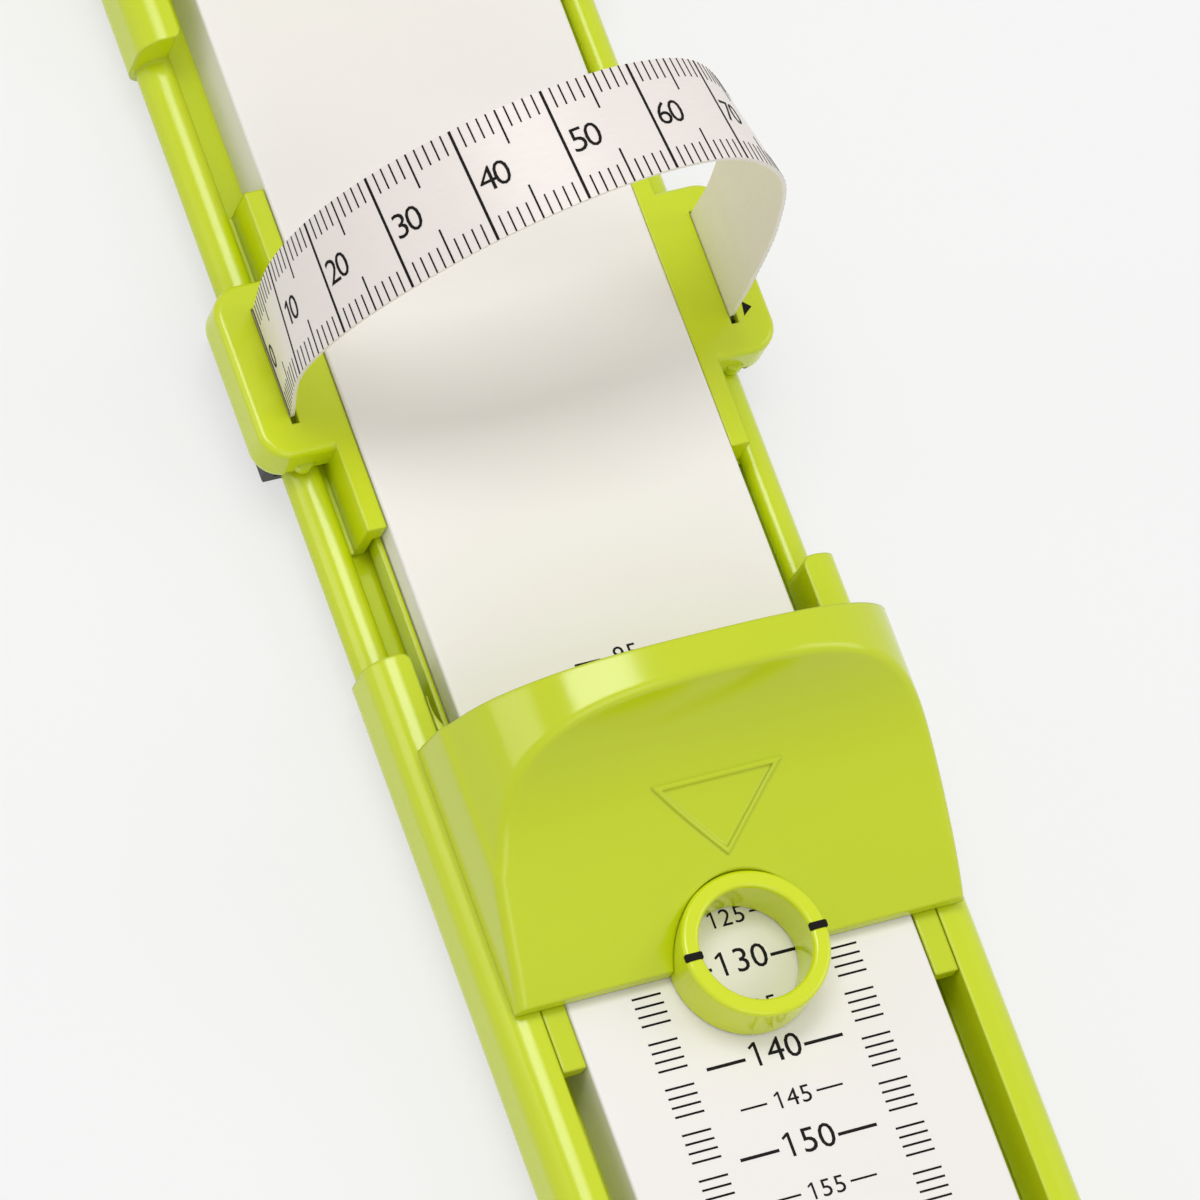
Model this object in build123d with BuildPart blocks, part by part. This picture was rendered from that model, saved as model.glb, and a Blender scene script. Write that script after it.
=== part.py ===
from build123d import *
import os
from math import cos, radians, sin

os.makedirs("parts", exist_ok=True)

# A foot gauge for small children. +Y points to the heel, +Z up, and +X to the right of someone
# who stands at the toe end and looks at the heel. The origin lies on the table, under the middle.
# Places along the frame are given as scale readings, the numbers printed on the deck.

# ------------------------------------------------------------------ driving dimensions, mm
# Frame
frame_length = 216.6        # heel end to the outside of the toe cap
frame_width = 53.5          # over the raised rails
frame_depth = 9.8           # underside to rail top
foot_stand = 2.2            # rubber feet, below the underside
rail_round = 3.0            # upper outer edge of a raised rail
under_round = 3.0           # lower outer edge
rail_width = 4.4            # raised rail, from its outside to the groove
groove_width = 2.85         # between a rail and the deck
well_depth = 6.9            # rail top to groove floor
undercut_reach = 0.8        # retaining slot at the groove floor, sideways into the rail
undercut_height = 0.8
low_start = 17.3            # readings between which the rails are lowered for the tape carriage
low_end = 89.3
low_drop = 4.8
low_inset = 0.75
low_round = 2.4
low_rise = 1.4              # underside raised for the carriage's bridge
low_under_round = 1.15
rail_end_round = 1.0        # inner corner of a raised rail's end
rail_edge_round = 1.2       # inner edge of a lowered rail

# Scale
sight_offset = 30.0         # sight ring centre to the toe wall, along the frame
rest_reading = 130.0        # reading that the slider is shown at

# Heel cup
cup_wall = 2.55
cup_height = 25.0           # above the deck
cup_scoop = 4.0             # hollow fillet between heel seat and wall
cup_seat_drop = 4.0         # cup base below the deck
cup_toe_reading = 10.0      # where the cup's sides run out
cup_full_reading = -16.0    # where they reach full height
cup_run_out = 0.35          # slope of the sides where they run out
cup_edge_round = 0.8
cup_screw_angle = 60.0      # between neighbouring cup screws

# Deck plate
deck_thickness = 2.0
deck_skirt = 1.6
deck_edge_round = 0.35
deck_rib = 1.4
deck_fit = 0.15
deck_post_radius = 2.8
deck_post_inset = 5.5       # from the deck's edge
deck_post_heel = 7.8        # heel post from the centre of the heel's half round
deck_post_middle = 6.7      # middle post beyond the lowered rails
deck_post_toe = 12.05       # toe post from the frame's toe end

# Toe cap
cap_length = 3.0
cap_fit = 0.05
cap_edge_round = 0.8
plug_length = 2.0
plug_fit = 0.15

# Feet
foot_radius = 5.0
foot_recess = 1.0
foot_fit = 0.1
foot_edge_round = 0.6
foot_inset = 10.0           # from the frame's side
foot_heel = 21.55           # from the frame's heel end
foot_toe = 24.05            # from its toe end

# Screws, as plain cores: the threads are left out
screw_core = 1.0
screw_head = 2.1
screw_head_depth = 1.1
thread_fit = 0.05
drill_spare = 0.4           # pilot hole beyond the screw's tip
shank_fit = 0.25
small_core = 0.7
small_head = 1.4
small_head_depth = 0.7
cross_width = 0.45
deck_screw_length = 7.0
cup_screw_length = 7.0
cup_screw_inset = 4.6       # from the frame's side
cup_screw_recess = 3.0      # depth of the counterbore under the cup
cap_screw_length = 9.0
cap_screw_inset = 1.55      # from the rail's inner face
guide_screw_length = 4.2
cover_screw_length = 2.0

# Toe slider
slider_gap = 0.2            # under the slider, above the rails
slider_setback = 1.55       # flank to the frame's side
slider_length = 29.7        # toe wall to lower edge
slider_height = 22.5        # crown above the rails
slider_power = 2.8          # exponent of the arch, 2 being an ellipse
slider_rake = 2.3           # toe wall leans back over its height
crown_length = 4.4          # flat band at the crown, along the frame
dish_points = ((9.0, 16.9), (13.4, 11.5), (20.7, 6.8))    # from the toe wall, above the deck
dish_overrun = (0.6, 2.0)   # the dish's curve starts above the crown
lower_edge_height = 1.8
slider_skin = 2.0
dish_lean = (0.62, 0.78)    # direction square to the dish's slope, for its inner side
slider_base_wall = 2.6
ridge_round = 1.0
arch_angles = range(0, 181, 15)    # places on the arch, in degrees from its right foot
shoulder_length = 5.5       # thin lips over the grooves, ahead of the toe wall
shoulder_thickness = 0.3
shoulder_fit = 0.1          # from the rail
shoulder_tip = 0.15
shoulder_waist = (2.6, 0.45)    # from the wall and from the rail, half way along the lip
shoulder_inner = 0.15       # from the deck's edge, at the wall
triangle_start = 13.4       # from the toe wall to the raised triangle
triangle_length = 7.3
triangle_half_width = 7.3
triangle_rise = 0.25
triangle_line = 0.45

# Sight ring
ring_outer = 7.9
ring_bore = 6.0
ring_height = 5.8
ring_round = 0.5
ring_fit = 0.05
ring_boss = 1.7
ring_collar = 0.8
ring_collar_height = 0.8
ring_collar_start = 3.2     # heel-ward of the ring's centre
notch_width = 0.55
notch_depth = 0.3

# Slider guides
guide_gap = 0.15            # guide to the deck's side
runner_rail_gap = 0.15
runner_start = 13.0         # from the toe wall
runner_end = 36.5
runner_plate = 1.9          # top of the runner, which overhangs its toe end
runner_overhang = 4.0
runner_sink = 0.05          # runner top below the deck
lip_gap = 0.15              # lips inside the retaining slot
arm_thickness = 0.6
arm_drop = 3.15             # arm top below the deck
arm_depth = 2.85
arm_reach = 65.0            # arm tip ahead of the toe wall
ledge_width = 5.5           # ledge that the slider is screwed to
ledge_gap = 0.35            # ledge above the deck
ledge_thickness = 2.1
ledge_end = 23.5
guide_screw_inset = 1.2     # from the deck's edge
guide_screw_places = (15.2, 21.0)
guide_boss = 1.7

# Drag pads
pad_width = 1.3
pad_length = 20.0
pad_height = 1.5
pad_start = 5.0             # from the toe wall
pad_fit = 0.05

# Tape carriage
shoe_reading = 55.75
shoe_length = 20.0
shoe_drop = 0.4             # shoe top below the deck
shoe_bottom_drop = 6.4
shoe_wall = 3.05
shoe_gap = 0.35             # shoe to the lowered rail
shoe_corner = 3.3
shoe_edge_round = 0.7
shoe_under_round = 1.8
strip_reading = 55.75
strip_length = 39.5
strip_gap = 0.12            # strip to the deck's side
strip_drop = 0.4
strip_width = 2.15
strip_flange_drop = 3.0     # underside of the flange that covers the slider's arm
strip_blade = 1.2
nub_radius = 1.1
nub_rise = 0.6
nub_setback = 2.2           # from the frame's side
nub_height = 1.2

# Tape
tape_width = 12.0
tape_thickness = 0.45
tape_reading = 54.95
tape_rise = 39.5            # crown of the loop above the deck
tape_inset = 1.65           # middle of the tape at the shoes, from the frame's side
tape_offset = 2.9           # sideways step inside a shoe
tape_bend = 1.3
tape_entry = 1.2            # straight run below a shoe's top
tape_step_drop = 5.4        # end of the sideways step, below the deck
slot_width = 0.85
slot_length = 13.4
slot_reading = 55.5
anchor_radius = 0.5
anchor_drop = 4.6
anchor_fit = 0.05
anchor_pocket_fit = 0.1
anchor_step = 2.65          # anchor pin, outward of the loop
anchor_seat = 0.35          # pin beyond each end of its pocket
turn_pin_radius = 0.8
turn_pin_seat = 0.9

# Bridge under the frame
bridge_gap = 0.3            # under the lowered part of the frame
bridge_roof = 0.7
channel_height = 0.8
channel_width = 12.6
cover_thickness = 1.1
bridge_heel_setback = 0.5   # shorter than the shoes
bridge_toe_setback = 1.5
bridge_toe_slope = (0.6, 1.6)      # lower toe edge, across and up
bridge_left_setback = 1.75  # left post to the shoe's outer face
bridge_left_slope = (1.05, 2.4)    # lower left edge, across and up
bridge_corner = 2.2         # right-hand corners, in plan
bridge_right_setback = 0.5
bridge_pocket_wall = 0.5    # outside the tape, at the right end
bridge_pocket_reach = 1.7   # pocket beyond the turn pin
cover_width = 16.2
cover_fit = 0.1
cover_screw_inset = 1.05
cover_screw_core = 0.5
cover_screw_head = 0.85
cover_screw_head_depth = 0.35
cover_screw_fit = 0.1
cover_screw_end = 3.0
tenon_height = 2.6
tenon_thickness = 0.9
tenon_length = 1.2
tenon_fit = 0.05
tenon_inset = 0.9           # tenon centre to the post's end face
drag_disc_radius = 1.4
drag_disc_recess = 0.3
drag_disc_spacing = (24.0, 13.0)

# Tape tail and tab
tail_split_setback = 5.0    # where the tail's straight part begins, from the turned leg
tab_setback = 7.4           # tab's inner end from the shoe's outer face
tab_length = 4.9
tab_grip = 2.6              # tail inside the tab
tab_gap = 0.2               # around the tab, in the bridge
tab_width = 12.4
tab_thickness = 2.0
tab_slot_fit = 0.05
rivet_radius = 0.8
rivet_head = 1.3
rivet_head_height = 0.4
rivet_spacing = 6.0

# ------------------------------------------------------------------ derived places
half_frame = frame_width / 2
half_well = half_frame - rail_width
half_deck = half_well - groove_width
tape_side = half_frame - tape_inset
frame_bottom = foot_stand
deck_z = frame_bottom + frame_depth
floor_z = deck_z - well_depth
low_rail_z = deck_z - low_drop
low_bottom = frame_bottom + low_rise
cup_seat_z = deck_z - cup_seat_drop
toe_y = -frame_length / 2
cap_y = toe_y + cap_length
heel_stop_y = frame_length / 2 - cup_wall
cup_radius = half_frame - cup_wall
heel_centre_y = heel_stop_y - cup_radius
low_half = half_frame - low_inset
hang = (Align.CENTER, Align.CENTER, Align.MAX)
stand = (Align.CENTER, Align.CENTER, Align.MIN)


def reading_y(reading):
    """Place along the frame, beside a printed reading."""
    return heel_stop_y - sight_offset - reading


def across(y):
    """Plane across the frame at y: local x is +X, local y is +Z, and it extrudes to the toes."""
    return Plane.XZ.offset(-y)


def bar(section_width, bottom, top, top_round, bottom_round, y_from, y_to):
    """Adds a straight length of frame with rounded outer edges."""
    with BuildSketch(across(y_from)) as section:
        with Locations((0, bottom)):
            Rectangle(section_width, top - bottom, align=(Align.CENTER, Align.MIN))
        corners = section.vertices().sort_by(Axis.Y)
        fillet(corners[:2], bottom_round)
        if top_round > 0:
            fillet(section.vertices().sort_by(Axis.Y)[-2:], top_round)
    extrude(section.sketch, amount=y_from - y_to)


def groove_cut(half_width, bottom, height, y_from, y_to):
    """Cuts a straight channel along the frame."""
    with BuildSketch(Plane.XY.offset(bottom)) as plan:
        with Locations((0, y_to)):
            Rectangle(2 * half_width, y_from - y_to, align=(Align.CENTER, Align.MIN))
    extrude(plan.sketch, amount=height, mode=Mode.SUBTRACT)


def facing_down(points, z):
    """Locations whose +Z points down, for holes and screws that enter from beneath."""
    return [Location((x, y, z), (180, 0, 0)) for x, y in points]


def cross_recess(places, core, head_depth):
    """Cuts the driver's cross into screw heads."""
    with Locations(*places):
        Box(2 * core, cross_width, head_depth, align=hang, mode=Mode.SUBTRACT)
        Box(cross_width, 2 * core, head_depth, align=hang, mode=Mode.SUBTRACT)


def flat_screws(places, core, head, head_depth, length):
    """Adds countersunk screws, each with its head flush at its place and its shank inward."""
    with Locations(*places):
        Cone(core, head, head_depth, align=hang)
        Cylinder(core, length, align=hang)
    cross_recess(places, core, head_depth)


def pan_screws(places, core, head, head_depth, length):
    """Adds screws with cylindrical heads."""
    with Locations(*places):
        Cylinder(head, head_depth, align=hang)
        Cylinder(core, length, align=hang)
    cross_recess(places, core, head_depth)


def block(x_ends, y_ends, z_ends, mode=Mode.ADD):
    """Adds or cuts a box between two places along each axis, given in either order."""
    with Locations((min(x_ends), min(y_ends), min(z_ends))):
        Box(
            abs(x_ends[1] - x_ends[0]),
            abs(y_ends[1] - y_ends[0]),
            abs(z_ends[1] - z_ends[0]),
            align=(Align.MIN, Align.MIN, Align.MIN),
            mode=mode,
        )


def finish(piece, name):
    """Names a finished piece and writes it."""
    piece.part.label = name
    export_step(piece.part, f"parts/{name}.step")


# Places shared by more than one piece
low_heel_y = reading_y(low_start)
low_toe_y = reading_y(low_end)
deck_post_ys = (
    heel_centre_y - deck_post_heel,
    low_toe_y - deck_post_middle,
    toe_y + deck_post_toe,
)
deck_screw_points = [
    (side * (half_deck - deck_post_inset), y)
    for y in deck_post_ys
    for side in (-1, 1)
]
foot_points = [
    (side * (half_frame - foot_inset), y)
    for y in (frame_length / 2 - foot_heel, toe_y + foot_toe)
    for side in (-1, 1)
]
cup_screw_radius = half_frame - cup_screw_inset
cup_screw_points = [
    (cup_screw_radius * cos(radians(angle)), heel_centre_y + cup_screw_radius * sin(radians(angle)))
    for angle in (90 - cup_screw_angle, 90, 90 + cup_screw_angle)
]
cup_screw_z = frame_bottom + cup_screw_recess - screw_head_depth
cup_top = deck_z + cup_height
cup_toe_y = reading_y(cup_toe_reading)
cap_screw_x = half_well + cap_screw_inset
cap_screw_z = deck_z - rail_round - small_core
cap_screw_places = [
    Location((side * cap_screw_x, toe_y, cap_screw_z), (90, 0, 0)) for side in (-1, 1)
]

# ------------------------------------------------------------------ base frame
# A shallow tray: a floor, two side rails and a rounded heel end. The rails are raised beside
# the slider and lowered beside the tape carriage.
with BuildPart() as base_frame:
    with BuildSketch(across(heel_centre_y)) as heel_section:
        with Locations((0, frame_bottom)):
            Rectangle(half_frame, cup_seat_z - frame_bottom, align=(Align.MIN, Align.MIN))
        fillet(heel_section.vertices().sort_by(Axis.Y)[:2].sort_by(Axis.X)[-1], under_round)
    revolve(
        heel_section.sketch,
        axis=Axis((0, heel_centre_y, 0), (0, 0, 1)),
        revolution_arc=180,
    )
    bar(frame_width, frame_bottom, cup_seat_z, 0, under_round, heel_centre_y, cup_toe_y)
    bar(frame_width, frame_bottom, deck_z, rail_round, under_round, cup_toe_y, low_heel_y)
    bar(2 * low_half, low_bottom, low_rail_z, low_round, low_under_round, low_heel_y, low_toe_y)
    bar(frame_width, frame_bottom, deck_z, rail_round, under_round, low_toe_y, cap_y)

    # Seat for the deck plate, a groove on each side of it, and the retaining slots
    groove_cut(half_deck + deck_fit, floor_z, well_depth, heel_centre_y, cap_y)
    with Locations((0, heel_centre_y, floor_z)):
        Cylinder(
            half_deck + deck_fit,
            well_depth,
            align=stand,
            mode=Mode.SUBTRACT,
        )
    groove_cut(half_well, floor_z, well_depth, heel_centre_y, cap_y)
    groove_cut(half_well + undercut_reach, floor_z, undercut_height, heel_centre_y, cap_y)

    # Softened inner edges: the lowered rails' tops and the raised rails' ends
    rail_end_edges = (
        base_frame.edges()
        .filter_by(Axis.Z)
        .filter_by_position(Axis.Z, low_rail_z, deck_z)
        .filter_by_position(Axis.X, -half_well, half_well)
        .filter_by_position(Axis.Y, low_toe_y - rail_end_round, low_heel_y + rail_end_round)
    )
    fillet(rail_end_edges, rail_end_round)
    low_inner_edges = (
        base_frame.edges()
        .filter_by(Axis.Y)
        .filter_by_position(Axis.Z, low_rail_z - rail_edge_round / 2, low_rail_z + rail_edge_round / 2)
        .filter_by_position(Axis.X, -half_well, half_well)
    )
    fillet(low_inner_edges, rail_edge_round)

    # Screw holes and the recesses for the feet
    with Locations(*facing_down(deck_screw_points, frame_bottom)):
        CounterSinkHole(screw_core + shank_fit, screw_head + shank_fit, depth=floor_z - frame_bottom)
    with Locations(*facing_down(cup_screw_points, frame_bottom)):
        CounterBoreHole(
            screw_core + shank_fit,
            screw_head + shank_fit,
            cup_screw_recess,
            depth=cup_seat_z - frame_bottom,
        )
    with Locations(*facing_down(foot_points, frame_bottom)):
        Hole(foot_radius + foot_fit, depth=foot_recess)
    with Locations(*[place * Location((0, 0, -cap_length)) for place in cap_screw_places]):
        Hole(small_core + thread_fit, depth=cap_screw_length - cap_length + drill_spare)
finish(base_frame, "base_frame")

# ------------------------------------------------------------------ heel cup
# A horseshoe wall that the heel is pushed into. Its inner face is the zero of the scale.
with BuildPart() as heel_cup:
    seat_radius = half_deck + deck_fit
    with BuildSketch(across(heel_centre_y)) as cup_section:
        with BuildLine():
            outline = Polyline(
                (cup_radius, deck_z + cup_scoop),
                (cup_radius, cup_top),
                (half_frame, cup_top),
                (half_frame, cup_seat_z),
                (seat_radius, cup_seat_z),
                (seat_radius, deck_z),
                (cup_radius - cup_scoop, deck_z),
            )
            RadiusArc(outline @ 1, outline @ 0, -cup_scoop)
        make_face()
    revolve(
        cup_section.sketch,
        axis=Axis((0, heel_centre_y, 0), (0, 0, 1)),
        revolution_arc=180,
    )
    side_scoop = cup_radius - half_well
    for side in (-1, 1):
        with BuildSketch(across(heel_centre_y)) as side_section:
            with BuildLine():
                outline = Polyline(
                    (side * cup_radius, deck_z + side_scoop),
                    (side * cup_radius, cup_top),
                    (side * half_frame, cup_top),
                    (side * half_frame, cup_seat_z),
                    (side * half_well, cup_seat_z),
                    (side * half_well, deck_z),
                )
                RadiusArc(outline @ 1, outline @ 0, -side * side_scoop)
            make_face()
        extrude(side_section.sketch, amount=heel_centre_y - cup_toe_y)

    # The sides sweep down from the full height to the rail
    cup_full_y = reading_y(cup_full_reading)
    over_cup_z = cup_top + cup_height
    with BuildSketch(Plane.YZ) as sweep_down:
        with BuildLine():
            rim = Spline(
                (cup_toe_y, deck_z),
                (cup_full_y, cup_top),
                tangents=((1, cup_run_out), (1, 0)),
            )
            Polyline(rim @ 1, (cup_full_y, over_cup_z), (toe_y, over_cup_z), (toe_y, deck_z), rim @ 0)
        make_face()
    extrude(sweep_down.sketch, amount=half_frame, both=True, mode=Mode.SUBTRACT)
    rim_from_z = deck_z + 2 * cup_scoop
    rim_edges = heel_cup.edges().filter_by(
        lambda edge: edge.center().Z > rim_from_z and edge.geom_type != GeomType.LINE
    )
    fillet(rim_edges, cup_edge_round)

    cup_screw_tip_z = cup_screw_z + cup_screw_length
    with Locations(*facing_down(cup_screw_points, cup_seat_z)):
        Hole(screw_core + thread_fit, depth=cup_screw_tip_z - cup_seat_z + drill_spare)
finish(heel_cup, "heel_cup")

with BuildPart() as heel_cup_screws:
    pan_screws(
        facing_down(cup_screw_points, cup_screw_z),
        screw_core,
        screw_head,
        screw_head_depth,
        cup_screw_length,
    )
finish(heel_cup_screws, "heel_cup_screws")

# ------------------------------------------------------------------ deck plate
# A white printed plate with a skirt all round and posts for the screws from beneath.
def deck_outline(inset):
    """Adds the deck's plan, a bar with a half-round heel end, to the sketch in hand."""
    with Locations((0, cap_y + deck_fit + inset)):
        Rectangle(
            2 * (half_deck - inset),
            heel_centre_y - cap_y - deck_fit - inset,
            align=(Align.CENTER, Align.MIN),
        )
    with Locations((0, heel_centre_y)):
        Circle(half_deck - inset)


with BuildPart() as deck_plate:
    with BuildSketch(Plane.XY.offset(floor_z)):
        deck_outline(0)
    extrude(amount=well_depth)
    fillet(deck_plate.faces().sort_by(Axis.Z)[-1].edges(), deck_edge_round)
    with BuildSketch(Plane.XY.offset(floor_z)):
        deck_outline(deck_skirt)
        Rectangle(deck_rib, frame_length, mode=Mode.SUBTRACT)
        with Locations(*deck_screw_points):
            Circle(deck_post_radius, mode=Mode.SUBTRACT)
    extrude(amount=well_depth - deck_thickness, mode=Mode.SUBTRACT)
    with Locations(*facing_down(deck_screw_points, floor_z)):
        Hole(screw_core + thread_fit, depth=frame_bottom + deck_screw_length - floor_z + drill_spare)
finish(deck_plate, "deck_plate")

with BuildPart() as deck_screws:
    flat_screws(
        facing_down(deck_screw_points, frame_bottom),
        screw_core,
        screw_head,
        screw_head_depth,
        deck_screw_length,
    )
finish(deck_screws, "deck_screws")

# ------------------------------------------------------------------ toe cap
# Closes the grooves once the slider and the carriage have been pushed in.
with BuildPart() as toe_cap:
    bar(frame_width, frame_bottom, deck_z, rail_round, under_round, cap_y - cap_fit, toe_y)
    fillet(toe_cap.faces().sort_by(Axis.Y)[0].edges(), cap_edge_round)
    for side in (-1, 1):
        block(
            (side * (half_deck + plug_fit), side * (half_well - plug_fit)),
            (cap_y - cap_fit, cap_y + plug_length),
            (floor_z + plug_fit, deck_z - plug_fit),
        )
    with Locations(*cap_screw_places):
        CounterSinkHole(small_core + shank_fit, small_head + shank_fit, depth=cap_length)
finish(toe_cap, "toe_cap")

with BuildPart() as toe_cap_screws:
    flat_screws(cap_screw_places, small_core, small_head, small_head_depth, cap_screw_length)
finish(toe_cap_screws, "toe_cap_screws")

# ------------------------------------------------------------------ rubber feet
with BuildPart() as rubber_feet:
    with Locations(*[(x, y, 0) for x, y in foot_points]):
        Cylinder(foot_radius, foot_stand + foot_recess, align=stand)
    fillet(rubber_feet.edges().group_by(Axis.Z)[0], foot_edge_round)
finish(rubber_feet, "rubber_feet")

# ------------------------------------------------------------------ toe slider
# An arch that stands across the rails. Its heel side is the toe wall. Its toe side is scooped
# out down to a low edge, where the sight ring sits.
wall_y = reading_y(rest_reading - sight_offset)
ring_y = reading_y(rest_reading)
slide_z = deck_z + slider_gap
slider_half = half_frame - slider_setback
pad_x = slider_half - slider_base_wall / 2
ledge_z = deck_z + ledge_gap
ledge_top_z = ledge_z + ledge_thickness
guide_screw_x = half_deck - guide_screw_inset
guide_screw_points = [
    (side * guide_screw_x, wall_y - distance) for distance in guide_screw_places for side in (-1, 1)
]


def arch_point(half_width, height, angle):
    """A point of the superellipse arch, the angle running from the right foot to the left."""
    power = 2 / slider_power
    across_part = abs(cos(radians(angle))) ** power * half_width
    if angle > 90:
        across_part = -across_part
    return (across_part, slide_z + abs(sin(radians(angle))) ** power * height)


def slider_form(half_width, height, length, inset):
    """Adds the arch, trimmed by its side profile. An inset gives the form of the hollow."""
    crown_start = slider_rake + crown_length - dish_overrun[0]
    top_z = slider_height + dish_overrun[1]
    over_height = top_z / slider_height
    profile = [(crown_start, top_z), *dish_points, (slider_length, lower_edge_height)]
    with BuildSketch(across(wall_y)) as arch:
        with BuildLine():
            crown = Spline(
                [arch_point(half_width, height, angle) for angle in arch_angles],
                tangents=((0, 1), (0, -1)),
            )
            Line(crown @ 1, crown @ 0)
        make_face()
    extrude(arch.sketch, amount=length)
    with BuildSketch(Plane.YZ.offset(-half_frame)) as side_profile:
        with BuildLine():
            dish = Spline(
                [
                    (wall_y - distance + dish_lean[0] * inset, deck_z + above - dish_lean[1] * inset)
                    for distance, above in profile
                ]
            )
            Polyline(
                dish @ 1,
                (wall_y - slider_length + dish_lean[0] * inset, frame_bottom),
                (wall_y - inset, frame_bottom),
                (wall_y - inset, slide_z),
                (wall_y - inset - slider_rake * over_height, slide_z + slider_height * over_height),
                dish @ 0,
            )
        make_face()
    extrude(side_profile.sketch, amount=frame_width, mode=Mode.INTERSECT)


with BuildPart() as slider_hollow:
    slider_form(
        slider_half - slider_base_wall,
        slider_height - slider_skin,
        slider_length - slider_base_wall,
        slider_skin,
    )
    with Locations(*[(x, y, ledge_top_z) for x, y in guide_screw_points]):
        Cylinder(guide_boss, slider_height, align=stand, mode=Mode.SUBTRACT)
    with Locations((0, ring_y, slide_z + ring_collar_height + lip_gap)):
        Cylinder(ring_outer + ring_boss, slider_height, align=stand, mode=Mode.SUBTRACT)

with BuildPart() as slider_outer:
    slider_form(slider_half, slider_height, slider_length, 0)

with BuildPart() as toe_slider:
    add(slider_outer.part)
    ridge = toe_slider.edges().filter_by(lambda edge: edge.length > frame_width).sort_by(Axis.Y)[0]
    fillet(ridge, ridge_round)

    # The raised outline of a triangle on the scooped face, pointing to the sight ring
    triangle_y = wall_y - triangle_start
    with BuildSketch(Plane.XY.offset(deck_z)) as triangle_plan:
        with BuildLine():
            Polyline(
                (-triangle_half_width, triangle_y),
                (triangle_half_width, triangle_y),
                (0, triangle_y - triangle_length),
                close=True,
            )
        make_face()
        offset(amount=-triangle_line, kind=Kind.INTERSECTION, mode=Mode.SUBTRACT)
    with BuildPart(mode=Mode.PRIVATE) as raised_line:
        add(slider_outer.part.moved(Location((0, 0, triangle_rise))))
        extrude(triangle_plan.sketch, amount=slider_height, mode=Mode.INTERSECT)
    add(raised_line.part)

    # Thin lips over the grooves, ahead of the toe wall
    lip_rail_x = half_well - shoulder_fit
    for side in (-1, 1):
        with BuildSketch(Plane.XY.offset(slide_z - shoulder_thickness)) as lip_plan:
            with BuildLine():
                inner_edge = Spline(
                    (side * (lip_rail_x - shoulder_tip), wall_y + shoulder_length),
                    (side * (lip_rail_x - shoulder_waist[1]), wall_y + shoulder_waist[0]),
                    (side * (half_deck + shoulder_inner), wall_y),
                )
                Polyline(
                    inner_edge @ 1,
                    (side * (half_deck + shoulder_inner), wall_y - slider_rake),
                    (side * lip_rail_x, wall_y - slider_rake),
                    (side * lip_rail_x, wall_y + shoulder_length),
                    inner_edge @ 0,
                )
            make_face()
        extrude(lip_plan.sketch, amount=shoulder_thickness)

    add(slider_hollow.part, mode=Mode.SUBTRACT)

    # Seat of the sight ring, pilot holes for the guides' screws, pockets for the drag pads
    with Locations((0, ring_y, frame_bottom)):
        Cylinder(ring_outer + ring_fit, cup_top, align=stand, mode=Mode.SUBTRACT)
    with Locations(*facing_down(guide_screw_points, ledge_top_z)):
        Hole(small_core + thread_fit, depth=guide_screw_length - ledge_thickness + drill_spare)
    for side in (-1, 1):
        block(
            (side * (pad_x - pad_width / 2 - pad_fit), side * (pad_x + pad_width / 2 + pad_fit)),
            (wall_y - pad_start + pad_fit, wall_y - pad_start - pad_length - pad_fit),
            (frame_bottom, deck_z + pad_height + pad_fit),
            mode=Mode.SUBTRACT,
        )
finish(toe_slider, "toe_slider")

with BuildPart() as slider_drag_pads:
    for side in (-1, 1):
        block(
            (side * (pad_x - pad_width / 2), side * (pad_x + pad_width / 2)),
            (wall_y - pad_start, wall_y - pad_start - pad_length),
            (deck_z, deck_z + pad_height),
        )
finish(slider_drag_pads, "slider_drag_pads")

# ------------------------------------------------------------------ sight ring
# A short tube round the reading, with an index notch on each side of its rim.
with BuildPart() as sight_ring:
    ring_top_z = deck_z + ring_height
    with Locations((0, ring_y, slide_z)):
        Cylinder(ring_outer, ring_top_z - slide_z, align=stand)
        Cylinder(ring_outer + ring_collar, ring_collar_height, align=stand)
    block(
        (-half_frame, half_frame),
        (ring_y + ring_collar_start, ring_y - half_frame),
        (slide_z, slide_z + ring_collar_height),
        mode=Mode.SUBTRACT,
    )
    with Locations((0, ring_y, slide_z)):
        Cylinder(ring_outer, ring_top_z - slide_z, align=stand)
        Cylinder(ring_bore, ring_top_z, align=stand, mode=Mode.SUBTRACT)
    fillet(sight_ring.faces().sort_by(Axis.Z)[-1].edges(), ring_round)
    block(
        (-half_frame, half_frame),
        (ring_y - notch_width / 2, ring_y + notch_width / 2),
        (ring_top_z - notch_depth, deck_z + slider_height),
        mode=Mode.SUBTRACT,
    )
finish(sight_ring, "sight_ring")

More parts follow.
